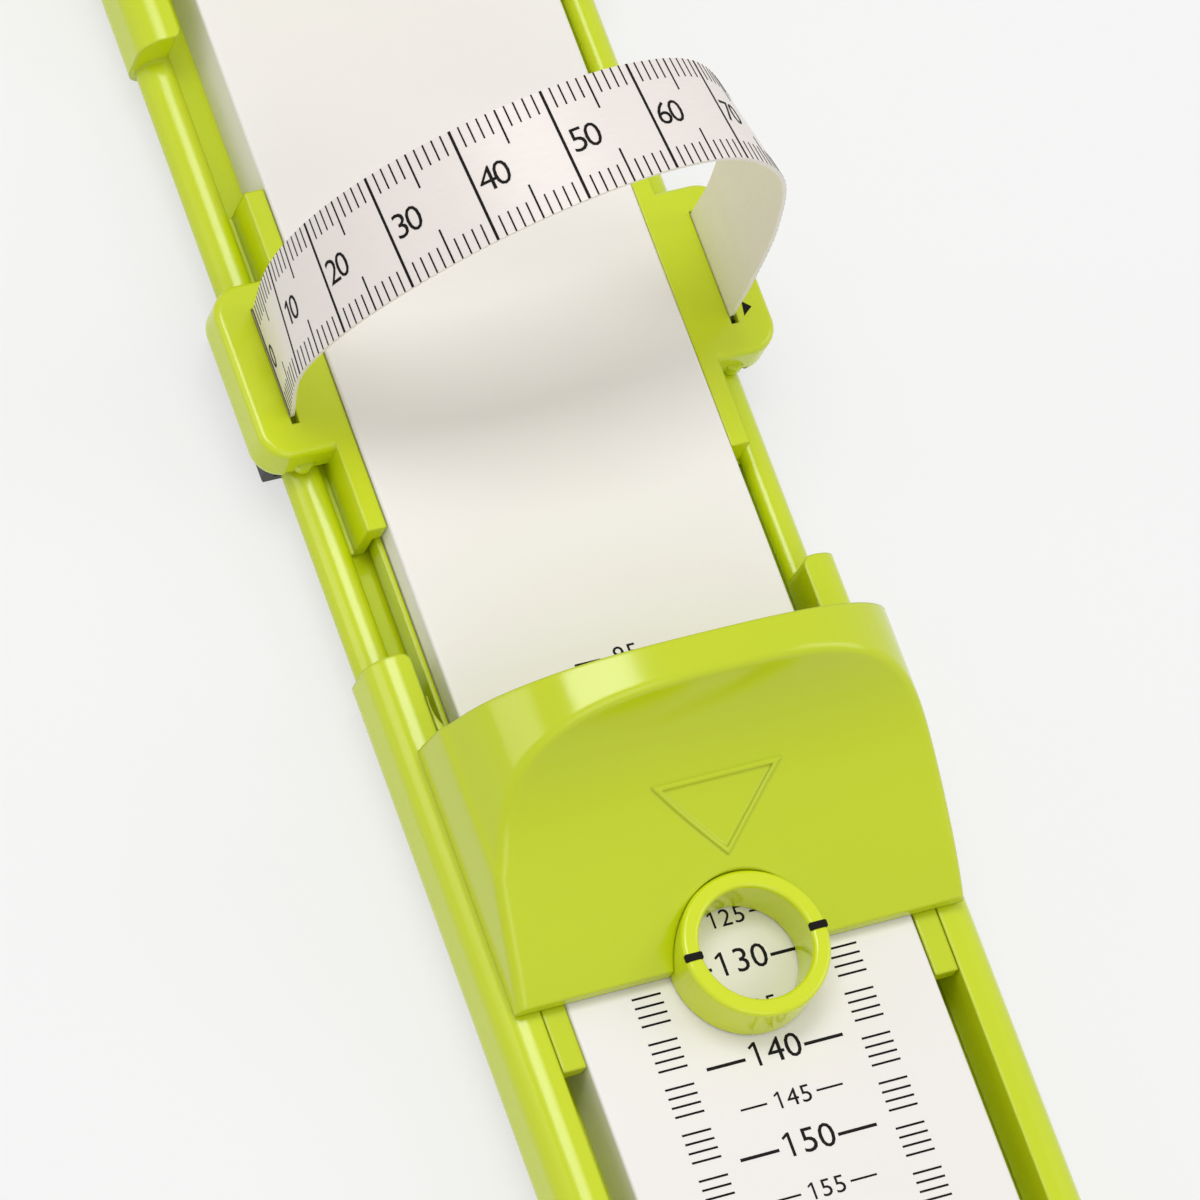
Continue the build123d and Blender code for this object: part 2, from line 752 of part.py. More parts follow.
# ------------------------------------------------------------------ slider guides
# Each guide runs in a groove. Its lip stays under the rail, its ledge is screwed to the slider,
# and its thin arm reaches on towards the heel beneath the carriage's strip.
guide_inner_x = half_deck + guide_gap
runner_outer_x = half_well - runner_rail_gap
lip_outer_x = half_well + undercut_reach - lip_gap
runner_bottom_z = floor_z + lip_gap
lip_top_z = floor_z + undercut_height - lip_gap
runner_y = wall_y - runner_start
for side, hand in ((-1, "left"), (1, "right")):
    with BuildPart() as slider_guide:
        block(
            (side * guide_inner_x, side * runner_outer_x),
            (runner_y, wall_y - runner_end),
            (deck_z - runner_sink - runner_plate, deck_z - runner_sink),
        )
        block(
            (side * guide_inner_x, side * runner_outer_x),
            (runner_y, wall_y - runner_end + runner_overhang),
            (runner_bottom_z, deck_z - runner_sink),
        )
        block(
            (side * guide_inner_x, side * lip_outer_x),
            (runner_y, wall_y - runner_end + runner_overhang),
            (runner_bottom_z, lip_top_z),
        )
        block(
            (side * guide_inner_x, side * runner_outer_x),
            (runner_y, wall_y - ledge_end),
            (deck_z - runner_sink, ledge_top_z),
        )
        block(
            (side * (runner_outer_x - ledge_width), side * runner_outer_x),
            (runner_y, wall_y - ledge_end),
            (ledge_z, ledge_top_z),
        )
        block(
            (side * guide_inner_x, side * (guide_inner_x + arm_thickness)),
            (wall_y + arm_reach, runner_y),
            (deck_z - arm_drop - arm_depth, deck_z - arm_drop),
        )
        own_screws = [point for point in guide_screw_points if point[0] * side > 0]
        with Locations(*facing_down(own_screws, ledge_z)):
            CounterSinkHole(small_core + shank_fit, small_head + shank_fit, depth=ledge_thickness)
    finish(slider_guide, f"slider_guide_{hand}")

with BuildPart() as guide_screws:
    flat_screws(
        facing_down(guide_screw_points, ledge_z),
        small_core,
        small_head,
        small_head_depth,
        guide_screw_length,
    )
finish(guide_screws, "guide_screws")

# ------------------------------------------------------------------ tape route
# The tape is held by a pin in the left shoe, loops over the foot, goes down through the right
# shoe, round a pin and back to the left through the bridge under the frame.
shoe_outer_x = low_half + shoe_gap + shoe_wall
shoe_top_z = deck_z - shoe_drop
shoe_bottom_z = deck_z - shoe_bottom_drop
bridge_top_z = low_bottom - bridge_gap
channel_top_z = bridge_top_z - bridge_roof
channel_z = channel_top_z - channel_height
bridge_bottom_z = channel_z - cover_thickness
tail_z = channel_z + channel_height / 2
leg_x = tape_side + tape_offset
turn_pin_x = leg_x - tape_bend
tail_split = leg_x - tail_split_setback
tab_start = shoe_outer_x - tab_setback
tail_end = tab_start + tab_grip
turn_pin_z = tail_z + tape_bend
anchor_x = -(tape_side + anchor_step)
anchor_z = deck_z - anchor_drop
tape_y = reading_y(tape_reading)
slot_y = reading_y(slot_reading)
entry_z = shoe_top_z - tape_entry


def right_route(top_z, last_points):
    """Draws the tape's way down through the right shoe."""
    FilletPolyline(
        (tape_side, top_z),
        (tape_side, entry_z),
        (leg_x, deck_z - tape_step_drop),
        *last_points,
        radius=tape_bend,
    )


def left_route(top_z):
    """Draws the tape's way from the left shoe's top to the anchor pin."""
    entry = Vector(-tape_side, entry_z)
    pin = Vector(anchor_x, anchor_z)
    loop_radius = anchor_radius + anchor_fit + tape_thickness / 2
    Polyline((-tape_side, top_z), (entry.X, entry.Y), pin + (entry - pin).normalized() * loop_radius)


with BuildPart() as measuring_tape:
    with BuildSketch(across(tape_y + tape_width / 2)):
        half_thickness = tape_thickness / 2
        loop_rise = tape_rise + shoe_drop
        with Locations((0, shoe_top_z)):
            Ellipse(tape_side + half_thickness, loop_rise + half_thickness)
            Ellipse(tape_side - half_thickness, loop_rise - half_thickness, mode=Mode.SUBTRACT)
            Rectangle(
                frame_width,
                frame_width,
                align=(Align.CENTER, Align.MAX),
                mode=Mode.SUBTRACT,
            )
        with BuildLine():
            right_route(shoe_top_z, [(leg_x, tail_z), (tail_split, tail_z)])
        trace(line_width=tape_thickness)
        with BuildLine():
            left_route(shoe_top_z)
        trace(line_width=tape_thickness)
        with Locations((anchor_x, anchor_z)):
            Circle(anchor_radius + anchor_fit + tape_thickness)
            Circle(anchor_radius + anchor_fit, mode=Mode.SUBTRACT)
    extrude(amount=tape_width)
finish(measuring_tape, "measuring_tape")

with BuildPart() as tape_anchor_pin:
    with Locations(Location((anchor_x, slot_y, anchor_z), (90, 0, 0))):
        Cylinder(anchor_radius, slot_length + 2 * anchor_seat)
finish(tape_anchor_pin, "tape_anchor_pin")

with BuildPart() as tape_turn_pin:
    with Locations(Location((turn_pin_x, slot_y, turn_pin_z), (90, 0, 0))):
        Cylinder(turn_pin_radius, slot_length + 2 * turn_pin_seat)
finish(tape_turn_pin, "tape_turn_pin")

# ------------------------------------------------------------------ tape carriage shoes
# Each shoe caps the lowered rail. Its strip slides in the groove, covers the slider's arm and
# hooks into the retaining slot.
strip_inner_x = half_deck + strip_gap
strip_outer_x = strip_inner_x + strip_width
shoe_inner_x = low_half + shoe_gap
shoe_heel_y = reading_y(shoe_reading) + shoe_length / 2
shoe_toe_y = shoe_heel_y - shoe_length
strip_heel_y = reading_y(strip_reading) + strip_length / 2
strip_toe_y = strip_heel_y - strip_length
bridge_heel_y = shoe_heel_y - bridge_heel_setback
bridge_toe_y = shoe_toe_y + bridge_toe_setback
tenon_x = shoe_inner_x + (shoe_wall - bridge_left_setback) / 2
tenon_places = [
    (side * tenon_x, y)
    for side in (-1, 1)
    for y in (bridge_heel_y - tenon_inset, bridge_toe_y + tenon_inset)
]


def tenons(gap, mode):
    """Adds the bridge's tenons, or cuts their mortises with a gap all round."""
    with Locations(*[(x, y, shoe_bottom_z - gap) for x, y in tenon_places]):
        Box(
            tenon_thickness + 2 * gap,
            tenon_length + 2 * gap,
            tenon_height + 2 * gap,
            align=stand,
            mode=mode,
        )


for side, hand in ((-1, "left"), (1, "right")):
    with BuildPart() as tape_shoe:
        with BuildSketch(Plane.XY.offset(shoe_bottom_z)) as shoe_plan:
            with Locations((side * (strip_outer_x + shoe_outer_x) / 2, reading_y(shoe_reading))):
                Rectangle(shoe_outer_x - strip_outer_x, shoe_length)
            fillet(shoe_plan.vertices().sort_by(Axis.X, reverse=side > 0)[:2], shoe_corner)
        extrude(amount=shoe_top_z - shoe_bottom_z)
        for face, edge_round in ((-1, shoe_edge_round), (0, shoe_under_round)):
            rim = tape_shoe.faces().sort_by(Axis.Z)[face].edges()
            fillet(rim.sort_by(Axis.X, reverse=side < 0)[1:], edge_round)
        block(
            (side * half_deck, side * shoe_inner_x),
            (shoe_heel_y, shoe_toe_y),
            (frame_bottom, low_rail_z + shoe_gap),
            mode=Mode.SUBTRACT,
        )
        # The strip: a flange over the slider's arm, a blade and a lip in the retaining slot
        block(
            (side * strip_inner_x, side * strip_outer_x),
            (strip_heel_y, strip_toe_y),
            (deck_z - strip_flange_drop, deck_z - strip_drop),
        )
        block(
            (side * (strip_outer_x - strip_blade), side * strip_outer_x),
            (strip_heel_y, strip_toe_y),
            (runner_bottom_z, deck_z - strip_flange_drop),
        )
        block(
            (side * (strip_outer_x - strip_blade), side * lip_outer_x),
            (strip_heel_y, strip_toe_y),
            (runner_bottom_z, lip_top_z),
        )
        # A small half-round stop on the toe side
        with Locations((side * (half_frame - nub_setback), shoe_toe_y + nub_radius - nub_rise)):
            with Locations((0, 0, low_rail_z + shoe_gap)):
                Cylinder(nub_radius, nub_height, align=stand)
        # The slot for the tape, with the anchor's pocket on the left
        with BuildSketch(across(slot_y + slot_length / 2)) as slot_section:
            with BuildLine():
                if side > 0:
                    right_route(deck_z, [(leg_x, frame_bottom)])
                else:
                    left_route(deck_z)
            trace(line_width=slot_width)
            if side < 0:
                with Locations((anchor_x, anchor_z)):
                    Circle(anchor_radius + anchor_fit + tape_thickness + anchor_pocket_fit)
        extrude(slot_section.sketch, amount=slot_length, mode=Mode.SUBTRACT)
        if side < 0:
            with Locations(Location((anchor_x, slot_y, anchor_z), (90, 0, 0))):
                Cylinder(
                    anchor_radius + anchor_fit,
                    slot_length + 2 * (anchor_seat + anchor_fit),
                    mode=Mode.SUBTRACT,
                )
        tenons(tenon_fit, Mode.SUBTRACT)
    finish(tape_shoe, f"tape_shoe_{hand}")

# ------------------------------------------------------------------ bridge
# A flat bar under the frame that ties the two shoes together. The tape's tail runs in a channel
# in it, closed from beneath by a cover.
drag_disc_points = [
    (
        x * drag_disc_spacing[0] / 2,
        (bridge_heel_y + bridge_toe_y) / 2 + y * drag_disc_spacing[1] / 2,
    )
    for x in (-1, 1)
    for y in (-1, 1)
]
cover_screw_points = [
    (
        x * (tail_split - cover_screw_end),
        tape_y + y * (cover_width / 2 - cover_screw_inset),
    )
    for x in (-1, 1)
    for y in (-1, 1)
]
bridge_left_x = -(shoe_outer_x - bridge_left_setback)
bridge_right_x = shoe_outer_x - bridge_right_setback
pocket_x = (turn_pin_x - bridge_pocket_reach, bridge_right_x - bridge_pocket_wall)
slot_ends_y = (slot_y - slot_length / 2, slot_y + slot_length / 2)
with BuildPart() as tape_bridge:
    bridge_ends_y = (bridge_toe_y, bridge_heel_y)
    block((bridge_left_x, bridge_right_x), bridge_ends_y, (bridge_bottom_z, bridge_top_z))
    block((bridge_left_x, -shoe_inner_x), bridge_ends_y, (bridge_top_z, shoe_bottom_z))
    block((shoe_inner_x, bridge_right_x), bridge_ends_y, (bridge_top_z, shoe_bottom_z))
    fillet(tape_bridge.edges().filter_by(Axis.Z).group_by(Axis.X)[-1], bridge_corner)
    left_edge = tape_bridge.edges().filter_by(Axis.Y).group_by(Axis.X)[0].sort_by(Axis.Z)[0]
    left_face = tape_bridge.faces().sort_by(Axis.X)[0]
    chamfer(left_edge, bridge_left_slope[1], bridge_left_slope[0], reference=left_face)
    with BuildSketch(Plane.YZ) as toe_slope:
        with BuildLine():
            Polyline(
                (bridge_toe_y, bridge_bottom_z),
                (bridge_toe_y + bridge_toe_slope[0], bridge_bottom_z),
                (bridge_toe_y, bridge_bottom_z + bridge_toe_slope[1]),
                close=True,
            )
        make_face()
    extrude(toe_slope.sketch, amount=shoe_outer_x, both=True, mode=Mode.SUBTRACT)
    tenons(0, Mode.ADD)
    # Tape channel, the pocket where the tape turns, and the notch for the pull tab
    block(
        (-tab_start, turn_pin_x),
        (tape_y - channel_width / 2, tape_y + channel_width / 2),
        (channel_z, channel_top_z),
        mode=Mode.SUBTRACT,
    )
    block(pocket_x, slot_ends_y, (channel_z, shoe_bottom_z), mode=Mode.SUBTRACT)
    block(
        (-tab_start + tab_gap, -shoe_outer_x),
        (tape_y - tab_width / 2 - tab_gap, tape_y + tab_width / 2 + tab_gap),
        (bridge_bottom_z, bridge_top_z),
        mode=Mode.SUBTRACT,
    )
    with Locations(Location((turn_pin_x, slot_y, turn_pin_z), (90, 0, 0))):
        Cylinder(
            turn_pin_radius + anchor_fit,
            slot_length + 2 * (turn_pin_seat + anchor_fit),
            mode=Mode.SUBTRACT,
        )
    # Recess and pilot holes for the cover, seats for the drag discs
    block(
        (-tab_start + tab_gap, tail_split + cover_fit),
        (tape_y - cover_width / 2 - cover_fit, tape_y + cover_width / 2 + cover_fit),
        (bridge_bottom_z, channel_z),
        mode=Mode.SUBTRACT,
    )
    with Locations(*facing_down(cover_screw_points, channel_z)):
        Hole(cover_screw_core + thread_fit, depth=cover_screw_length - cover_thickness + thread_fit)
    with Locations(*[(x, y, bridge_top_z) for x, y in drag_disc_points]):
        Hole(drag_disc_radius + pad_fit, depth=drag_disc_recess)
finish(tape_bridge, "tape_bridge")

with BuildPart() as bridge_drag_discs:
    with Locations(*[(x, y, bridge_top_z - drag_disc_recess) for x, y in drag_disc_points]):
        Cylinder(drag_disc_radius, drag_disc_recess + bridge_gap, align=stand)
finish(bridge_drag_discs, "bridge_drag_discs")

with BuildPart() as bridge_cover:
    block(
        (-tab_start + tab_gap, tail_split),
        (tape_y - cover_width / 2, tape_y + cover_width / 2),
        (bridge_bottom_z, channel_z),
    )
    with Locations(*facing_down(cover_screw_points, bridge_bottom_z)):
        CounterSinkHole(
            cover_screw_core + cover_screw_fit,
            cover_screw_head + cover_screw_fit,
            depth=cover_thickness,
        )
finish(bridge_cover, "bridge_cover")

with BuildPart() as cover_screws:
    flat_screws(
        facing_down(cover_screw_points, bridge_bottom_z),
        cover_screw_core,
        cover_screw_head,
        cover_screw_head_depth,
        cover_screw_length,
    )
finish(cover_screws, "cover_screws")

# ------------------------------------------------------------------ tape tail and pull tab
tail_ends_x = (-tail_end, tail_split)
tape_edges_y = (tape_y - tape_width / 2, tape_y + tape_width / 2)
rivet_points = [(-(tab_start + tail_end) / 2, tape_y + side * rivet_spacing / 2) for side in (-1, 1)]
tab_z = tail_z - tab_thickness / 2
with BuildPart() as tape_tail:
    block(tail_ends_x, tape_edges_y, (tail_z - tape_thickness / 2, tail_z + tape_thickness / 2))
    with Locations(*[(x, y, tail_z) for x, y in rivet_points]):
        Cylinder(rivet_radius + thread_fit, tab_thickness, mode=Mode.SUBTRACT)
finish(tape_tail, "tape_tail")

with BuildPart() as pull_tab:
    block(
        (-tab_start, -tab_start - tab_length),
        (tape_y - tab_width / 2, tape_y + tab_width / 2),
        (tab_z, tab_z + tab_thickness),
    )
    block(
        (0, -tail_end - tab_slot_fit),
        (tape_edges_y[0] - tab_slot_fit, tape_edges_y[1] + tab_slot_fit),
        (
            tail_z - tape_thickness / 2 - tab_slot_fit,
            tail_z + tape_thickness / 2 + tab_slot_fit,
        ),
        mode=Mode.SUBTRACT,
    )
    for face_z, turn in ((tab_z, 180), (tab_z + tab_thickness, 0)):
        with Locations(*[Location((x, y, face_z), (turn, 0, 0)) for x, y in rivet_points]):
            CounterBoreHole(
                rivet_radius + thread_fit,
                rivet_head + thread_fit,
                rivet_head_height,
                depth=tab_thickness,
            )
finish(pull_tab, "pull_tab")

with BuildPart() as tab_rivets:
    with Locations(*[(x, y, tail_z) for x, y in rivet_points]):
        Cylinder(rivet_radius, tab_thickness)
    with Locations(*[(x, y, tab_z) for x, y in rivet_points]):
        Cylinder(rivet_head, rivet_head_height, align=stand)
    with Locations(*[(x, y, tab_z + tab_thickness) for x, y in rivet_points]):
        Cylinder(rivet_head, rivet_head_height, align=hang)
finish(tab_rivets, "tab_rivets")
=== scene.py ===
# %% [markdown]
# # A foot gauge for small children
#
# The gauge is a lime-green moulded frame with a white printed deck. A toe slider with a sight
# ring reads the foot's length, and a flexible tape on its own carriage reads the girth over the
# ball of the foot. The solids come from the CAD model, in metres, with the table at z = 0,
# the heel towards +Y and the toes towards -Y. This lesson dresses them: it gives every solid the
# finish of its real material, prints the two scales, bends the tape, and lights the result.

import bmesh
import bpy
from mathutils import Matrix, Vector


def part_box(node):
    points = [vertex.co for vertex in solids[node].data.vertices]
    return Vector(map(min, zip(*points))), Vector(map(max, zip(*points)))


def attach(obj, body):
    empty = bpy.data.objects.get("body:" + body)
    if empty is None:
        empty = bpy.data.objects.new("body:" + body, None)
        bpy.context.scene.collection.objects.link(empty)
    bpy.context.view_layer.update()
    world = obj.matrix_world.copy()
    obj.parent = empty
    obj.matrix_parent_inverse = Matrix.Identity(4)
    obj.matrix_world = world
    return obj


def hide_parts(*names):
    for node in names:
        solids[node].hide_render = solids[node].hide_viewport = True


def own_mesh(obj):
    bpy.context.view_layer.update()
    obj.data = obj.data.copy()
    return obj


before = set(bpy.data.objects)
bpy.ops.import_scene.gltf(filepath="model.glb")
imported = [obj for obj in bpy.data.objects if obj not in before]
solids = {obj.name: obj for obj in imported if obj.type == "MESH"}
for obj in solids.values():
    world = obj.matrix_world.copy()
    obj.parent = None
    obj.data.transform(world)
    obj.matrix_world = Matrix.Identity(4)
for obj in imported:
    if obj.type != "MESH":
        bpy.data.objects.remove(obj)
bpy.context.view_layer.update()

scene = bpy.context.scene
mm = 0.001

# %% [markdown]
# ## Helpers
# Colours are easiest to read as the hex codes of a paint chart, but a renderer counts light, so
# one function turns a code into linear values. Node trees are easiest to read one node a line, so
# a second function adds a node, sets it up and fills its inputs with values or with links. The
# others start a material, put an object in the scene, and keep an object as a plain mesh.

# %% Helpers for colours, nodes and objects
def colour(code):
    """The linear colour of an sRGB hex code such as #BCCF26."""
    parts = [int(code[i:i + 2], 16) / 255 for i in (1, 3, 5)]
    return (*[c / 12.92 if c <= 0.04045 else ((c + 0.055) / 1.055) ** 2.4 for c in parts], 1.0)


def add(tree, kind, inputs=None, **settings):
    """Adds a node to a tree. An input gets a value, or a link when it is given a socket."""
    made = tree.nodes.new(kind)
    for name, value in settings.items():
        setattr(made, name, value)
    for key, value in (inputs or {}).items():
        if isinstance(value, bpy.types.NodeSocket):
            tree.links.new(value, made.inputs[key])
        else:
            made.inputs[key].default_value = value
    return made


def new_material(name):
    """An empty node material, with its tree."""
    made = bpy.data.materials.new(name)
    made.use_nodes = True
    made.node_tree.nodes.clear()
    return made, made.node_tree


def placed(name, data):
    """A new object with this data, in the scene."""
    made = bpy.data.objects.new(name, data)
    scene.collection.objects.link(made)
    return made


def plain_mesh(source):
    """The mesh of an object as Blender evaluates it. The object itself is removed."""
    bpy.context.view_layer.update()
    evaluated = source.evaluated_get(bpy.context.evaluated_depsgraph_get())
    mesh = bpy.data.meshes.new_from_object(evaluated)
    bpy.data.objects.remove(source)
    return mesh


print("lime as linear light:", [round(c, 3) for c in colour("#BCCF26")])

# %% [markdown]
# ## Camera
# A product photographer stands back and uses a long lens, so that the rails stay almost parallel.
# A short lens up close would make the near end swell. The camera's axes are written out as three
# directions: what lies to the right, down and ahead in the picture.

# %% Camera
picture_right = Vector((0.90618024, -0.33500817, 0.25808313))
picture_down = Vector((-0.21755587, -0.89263252, -0.39481213))
picture_ahead = Vector((0.36263869, 0.30162345, -0.88176895))
camera_place = Vector((-0.304845, -0.26608, 0.75193))
long_lens = bpy.data.cameras.new("long lens")
long_lens.lens = 244.72
long_lens.sensor_width = 36.0
camera = placed("camera", long_lens)
turned = Matrix((picture_right, -picture_down, -picture_ahead)).transposed().to_4x4()
turned.translation = camera_place
camera.matrix_world = turned
scene.camera = camera
print("camera", [round(x, 3) for x in camera_place], "lens", long_lens.lens, "mm")

# %% [markdown]
# ## Colours that drift
# No real surface has one flat colour. Each one here drifts between two close colours, along a
# noise whose size is that of the real pattern, in millimetres.

# %% Helper for a drifting colour
def drifting(tree, place, size, detail, body_code, drift_code):
    """A colour that drifts between two codes along a noise, and the noise, its size in mm."""
    noise = add(tree, "ShaderNodeTexNoise", {
        "Vector": place, "Scale": 1 / (size * mm), "Detail": detail
    })
    blend = add(tree, "ShaderNodeMix", {
        "Factor": noise.outputs["Fac"], 6: colour(body_code), 7: colour(drift_code)
    }, data_type="RGBA")
    return blend.outputs[2], noise.outputs["Fac"]


print("helper: drifting")

# %% [markdown]
# ## Lime ABS, injection moulded
# The frame, the slider and the shoes are ABS with the pigment in it, moulded in polished steel.
# Three things tell the eye so. The gloss is broad, because a polished mould still leaves a skin
# of fine ripples about a third of a millimetre wide, and the walls sink in shallow waves as they
# cool. The colour drifts very slightly over centimetres, where the pigment flowed. And no edge is
# truly sharp: the Bevel node turns the normal near an edge, so that each edge catches a thin line
# of light as a moulded radius does.

# %% Lime ABS
def lime_abs(name, body_code, drift_code, roughness, edge_radius):
    """Moulded ABS: a broad gloss, rippled skin, drifting pigment and softened edges."""
    made, tree = new_material(name)
    place = add(tree, "ShaderNodeTexCoord").outputs["Object"]
    pigment, _ = drifting(tree, place, 28, 2.0, body_code, drift_code)
    skin = add(tree, "ShaderNodeTexNoise", {
        "Vector": place, "Scale": 1 / (0.35 * mm), "Detail": 3.0
    })
    gloss = add(tree, "ShaderNodeMapRange", {
        "Value": skin.outputs["Fac"], "To Min": roughness - 0.03, "To Max": roughness + 0.05
    })
    sink = add(tree, "ShaderNodeTexNoise", {
        "Vector": place, "Scale": 1 / (7 * mm), "Detail": 1.0
    })
    edge = add(tree, "ShaderNodeBevel", {"Radius": edge_radius * mm}, samples=6)
    wavy = add(tree, "ShaderNodeBump", {
        "Strength": 0.12, "Distance": 0.03 * mm, "Height": sink.outputs["Fac"],
        "Normal": edge.outputs["Normal"],
    })
    rippled = add(tree, "ShaderNodeBump", {
        "Strength": 0.12, "Distance": 0.01 * mm, "Height": skin.outputs["Fac"],
        "Normal": wavy.outputs["Normal"],
    })
    shader = add(tree, "ShaderNodeBsdfPrincipled", {
        "Base Color": pigment, "Roughness": gloss.outputs["Result"], "IOR": 1.53,
        "Normal": rippled.outputs["Normal"],
    })
    add(tree, "ShaderNodeOutputMaterial", {"Surface": shader.outputs["BSDF"]})
    return made


frame_abs = lime_abs("lime ABS, moulded frame", "#CCDA10", "#C6D60C", 0.17, 0.5)
# The slider is the same lime plastic as the frame, made a shade darker: painted shade on its face.
slider_abs_painted_shade = lime_abs("lime ABS, moulded slider", "#C6D40B", "#C1D008", 0.16, 0.5)
shoe_abs = lime_abs("lime ABS, moulded shoe", "#CCDA10", "#C6D60C", 0.2, 0.4)
# The ring is the same lime plastic as the frame, made a shade lighter: painted light on its top.
ring_abs_painted_light = lime_abs("lime ABS, moulded ring", "#D4E012", "#CFDD0E", 0.2, 0.2)
print("four lime plastics")

# %% [markdown]
# ## White deck and dark mouldings
# The deck is high-impact polystyrene with a satin face, made for printing on: almost white, a
# little warm, with a fine even tooth of a fifth of a millimetre and hardly any reflection. The
# bridge, its cover and the pull tab are dark grey ABS from a spark-eroded mould, whose coarser
# tooth makes them look dry. The pull tab is a shade darker than the bridge: the sliver of it that
# shows under the carriage's left block is painted shade of the gap there.

# %% Satin mouldings
def satin_moulding(name, body_code, drift_code, roughness, tooth, tooth_depth):
    """A matt or satin moulding with an even tooth, its size and depth in millimetres."""
    made, tree = new_material(name)
    place = add(tree, "ShaderNodeTexCoord").outputs["Object"]
    body, _ = drifting(tree, place, 35, 3.0, body_code, drift_code)
    grain = add(tree, "ShaderNodeTexNoise", {
        "Vector": place, "Scale": 1 / (tooth * mm), "Detail": 4.0
    })
    sheen = add(tree, "ShaderNodeMapRange", {
        "Value": grain.outputs["Fac"], "To Min": roughness - 0.05, "To Max": roughness + 0.07
    })
    edge = add(tree, "ShaderNodeBevel", {"Radius": 0.2 * mm}, samples=4)
    bump = add(tree, "ShaderNodeBump", {
        "Strength": 0.2, "Distance": tooth_depth * mm, "Height": grain.outputs["Fac"],
        "Normal": edge.outputs["Normal"],
    })
    shader = add(tree, "ShaderNodeBsdfPrincipled", {
        "Base Color": body, "Roughness": sheen.outputs["Result"], "IOR": 1.55,
        "Normal": bump.outputs["Normal"],
    })
    add(tree, "ShaderNodeOutputMaterial", {"Surface": shader.outputs["BSDF"]})
    return made


deck_styrene = satin_moulding("white polystyrene, satin", "#F1EDEA", "#EBE7E3", 0.42, 0.2, 0.01)
bridge_abs = satin_moulding("dark grey ABS, spark-eroded", "#34373A", "#2C2F31", 0.55, 0.3, 0.04)
# The pull tab's darker grey is partly painted shade, for the gap under the carriage's left block.
tab_abs_and_gap_shade = satin_moulding("dark grey ABS, pull tab", "#303335", "#292B2D", 0.55, 0.3, 0.04)
print("deck, bridge and tab plastics")

# %% [markdown]
# ## Tape film
# The tape is PVC film on a fibre core, calendered between rollers: white and faintly glossy on
# the printed side, cream on the back. The rollers leave very fine lines along its length, and the
# core shows as a slight weave. The pattern is stretched eightfold along the loop, which runs in X
# and Z and hardly in Y.

# %% Tape film, face and back
def calendered_film(name, body_code, drift_code, roughness):
    """Film rolled between calenders: a faint grain drawn out along X and Z."""
    made, tree = new_material(name)
    place = add(tree, "ShaderNodeTexCoord").outputs["Object"]
    drawn = add(tree, "ShaderNodeMapping", {"Vector": place, "Scale": (0.125, 1.0, 0.125)})
    tint, lines = drifting(tree, drawn.outputs["Vector"], 0.25, 3.0, body_code, drift_code)
    gloss = add(tree, "ShaderNodeMapRange", {
        "Value": lines, "To Min": roughness - 0.04, "To Max": roughness + 0.05
    })
    bump = add(tree, "ShaderNodeBump", {
        "Strength": 0.15, "Distance": 0.01 * mm, "Height": lines
    })
    shader = add(tree, "ShaderNodeBsdfPrincipled", {
        "Base Color": tint, "Roughness": gloss.outputs["Result"], "IOR": 1.53,
        "Normal": bump.outputs["Normal"],
    })
    add(tree, "ShaderNodeOutputMaterial", {"Surface": shader.outputs["BSDF"]})
    return made


film_face = calendered_film("white PVC film, calendered", "#EEE6E0", "#E7DFD9", 0.38)
film_back = calendered_film("cream PVC film, back", "#F0EADB", "#E9E3D2", 0.45)
print("tape film, two sides")

# %% [markdown]
# ## Ink, rubber, felt and steel
# The scales are pad-printed in a dense black that dries a little uneven, so it is never quite
# black and never glossy. The feet are moulded rubber, the drag pads pressed wool felt, and the
# screws and pins zinc-plated steel. Each gets the one detail that names it: mottling in the ink,
# a chalky bloom on the rubber, fibres in the felt, and tumbled scratches on the plating.

# %% Ink, rubber and felt
def dry_surface(name, body_code, drift_code, roughness, shine, patch, grain, depth):
    """A surface with hardly any gloss, mottled in patches and grained, sizes in millimetres."""
    made, tree = new_material(name)
    place = add(tree, "ShaderNodeTexCoord").outputs["Object"]
    tint, _ = drifting(tree, place, patch, 4.0, body_code, drift_code)
    fine = add(tree, "ShaderNodeTexNoise", {
        "Vector": place, "Scale": 1 / (grain * mm), "Detail": 5.0
    })
    bump = add(tree, "ShaderNodeBump", {
        "Strength": 0.5, "Distance": depth * mm, "Height": fine.outputs["Fac"]
    })
    shader = add(tree, "ShaderNodeBsdfPrincipled", {
        "Base Color": tint, "Roughness": roughness, "IOR": 1.5, "Specular IOR Level": shine,
        "Normal": bump.outputs["Normal"],
    })
    add(tree, "ShaderNodeOutputMaterial", {"Surface": shader.outputs["BSDF"]})
    return made


ink = dry_surface("black ink, pad printed", "#0C0B0A", "#161412", 0.6, 0.12, 1.2, 0.15, 0.002)
rubber = dry_surface("black rubber, moulded", "#2A2A2B", "#232324", 0.75, 0.4, 3.0, 0.25, 0.03)
felt = dry_surface("grey wool felt, pressed", "#5A5B58", "#464744", 0.95, 0.2, 0.4, 0.12, 0.08)
print("ink, rubber and felt")

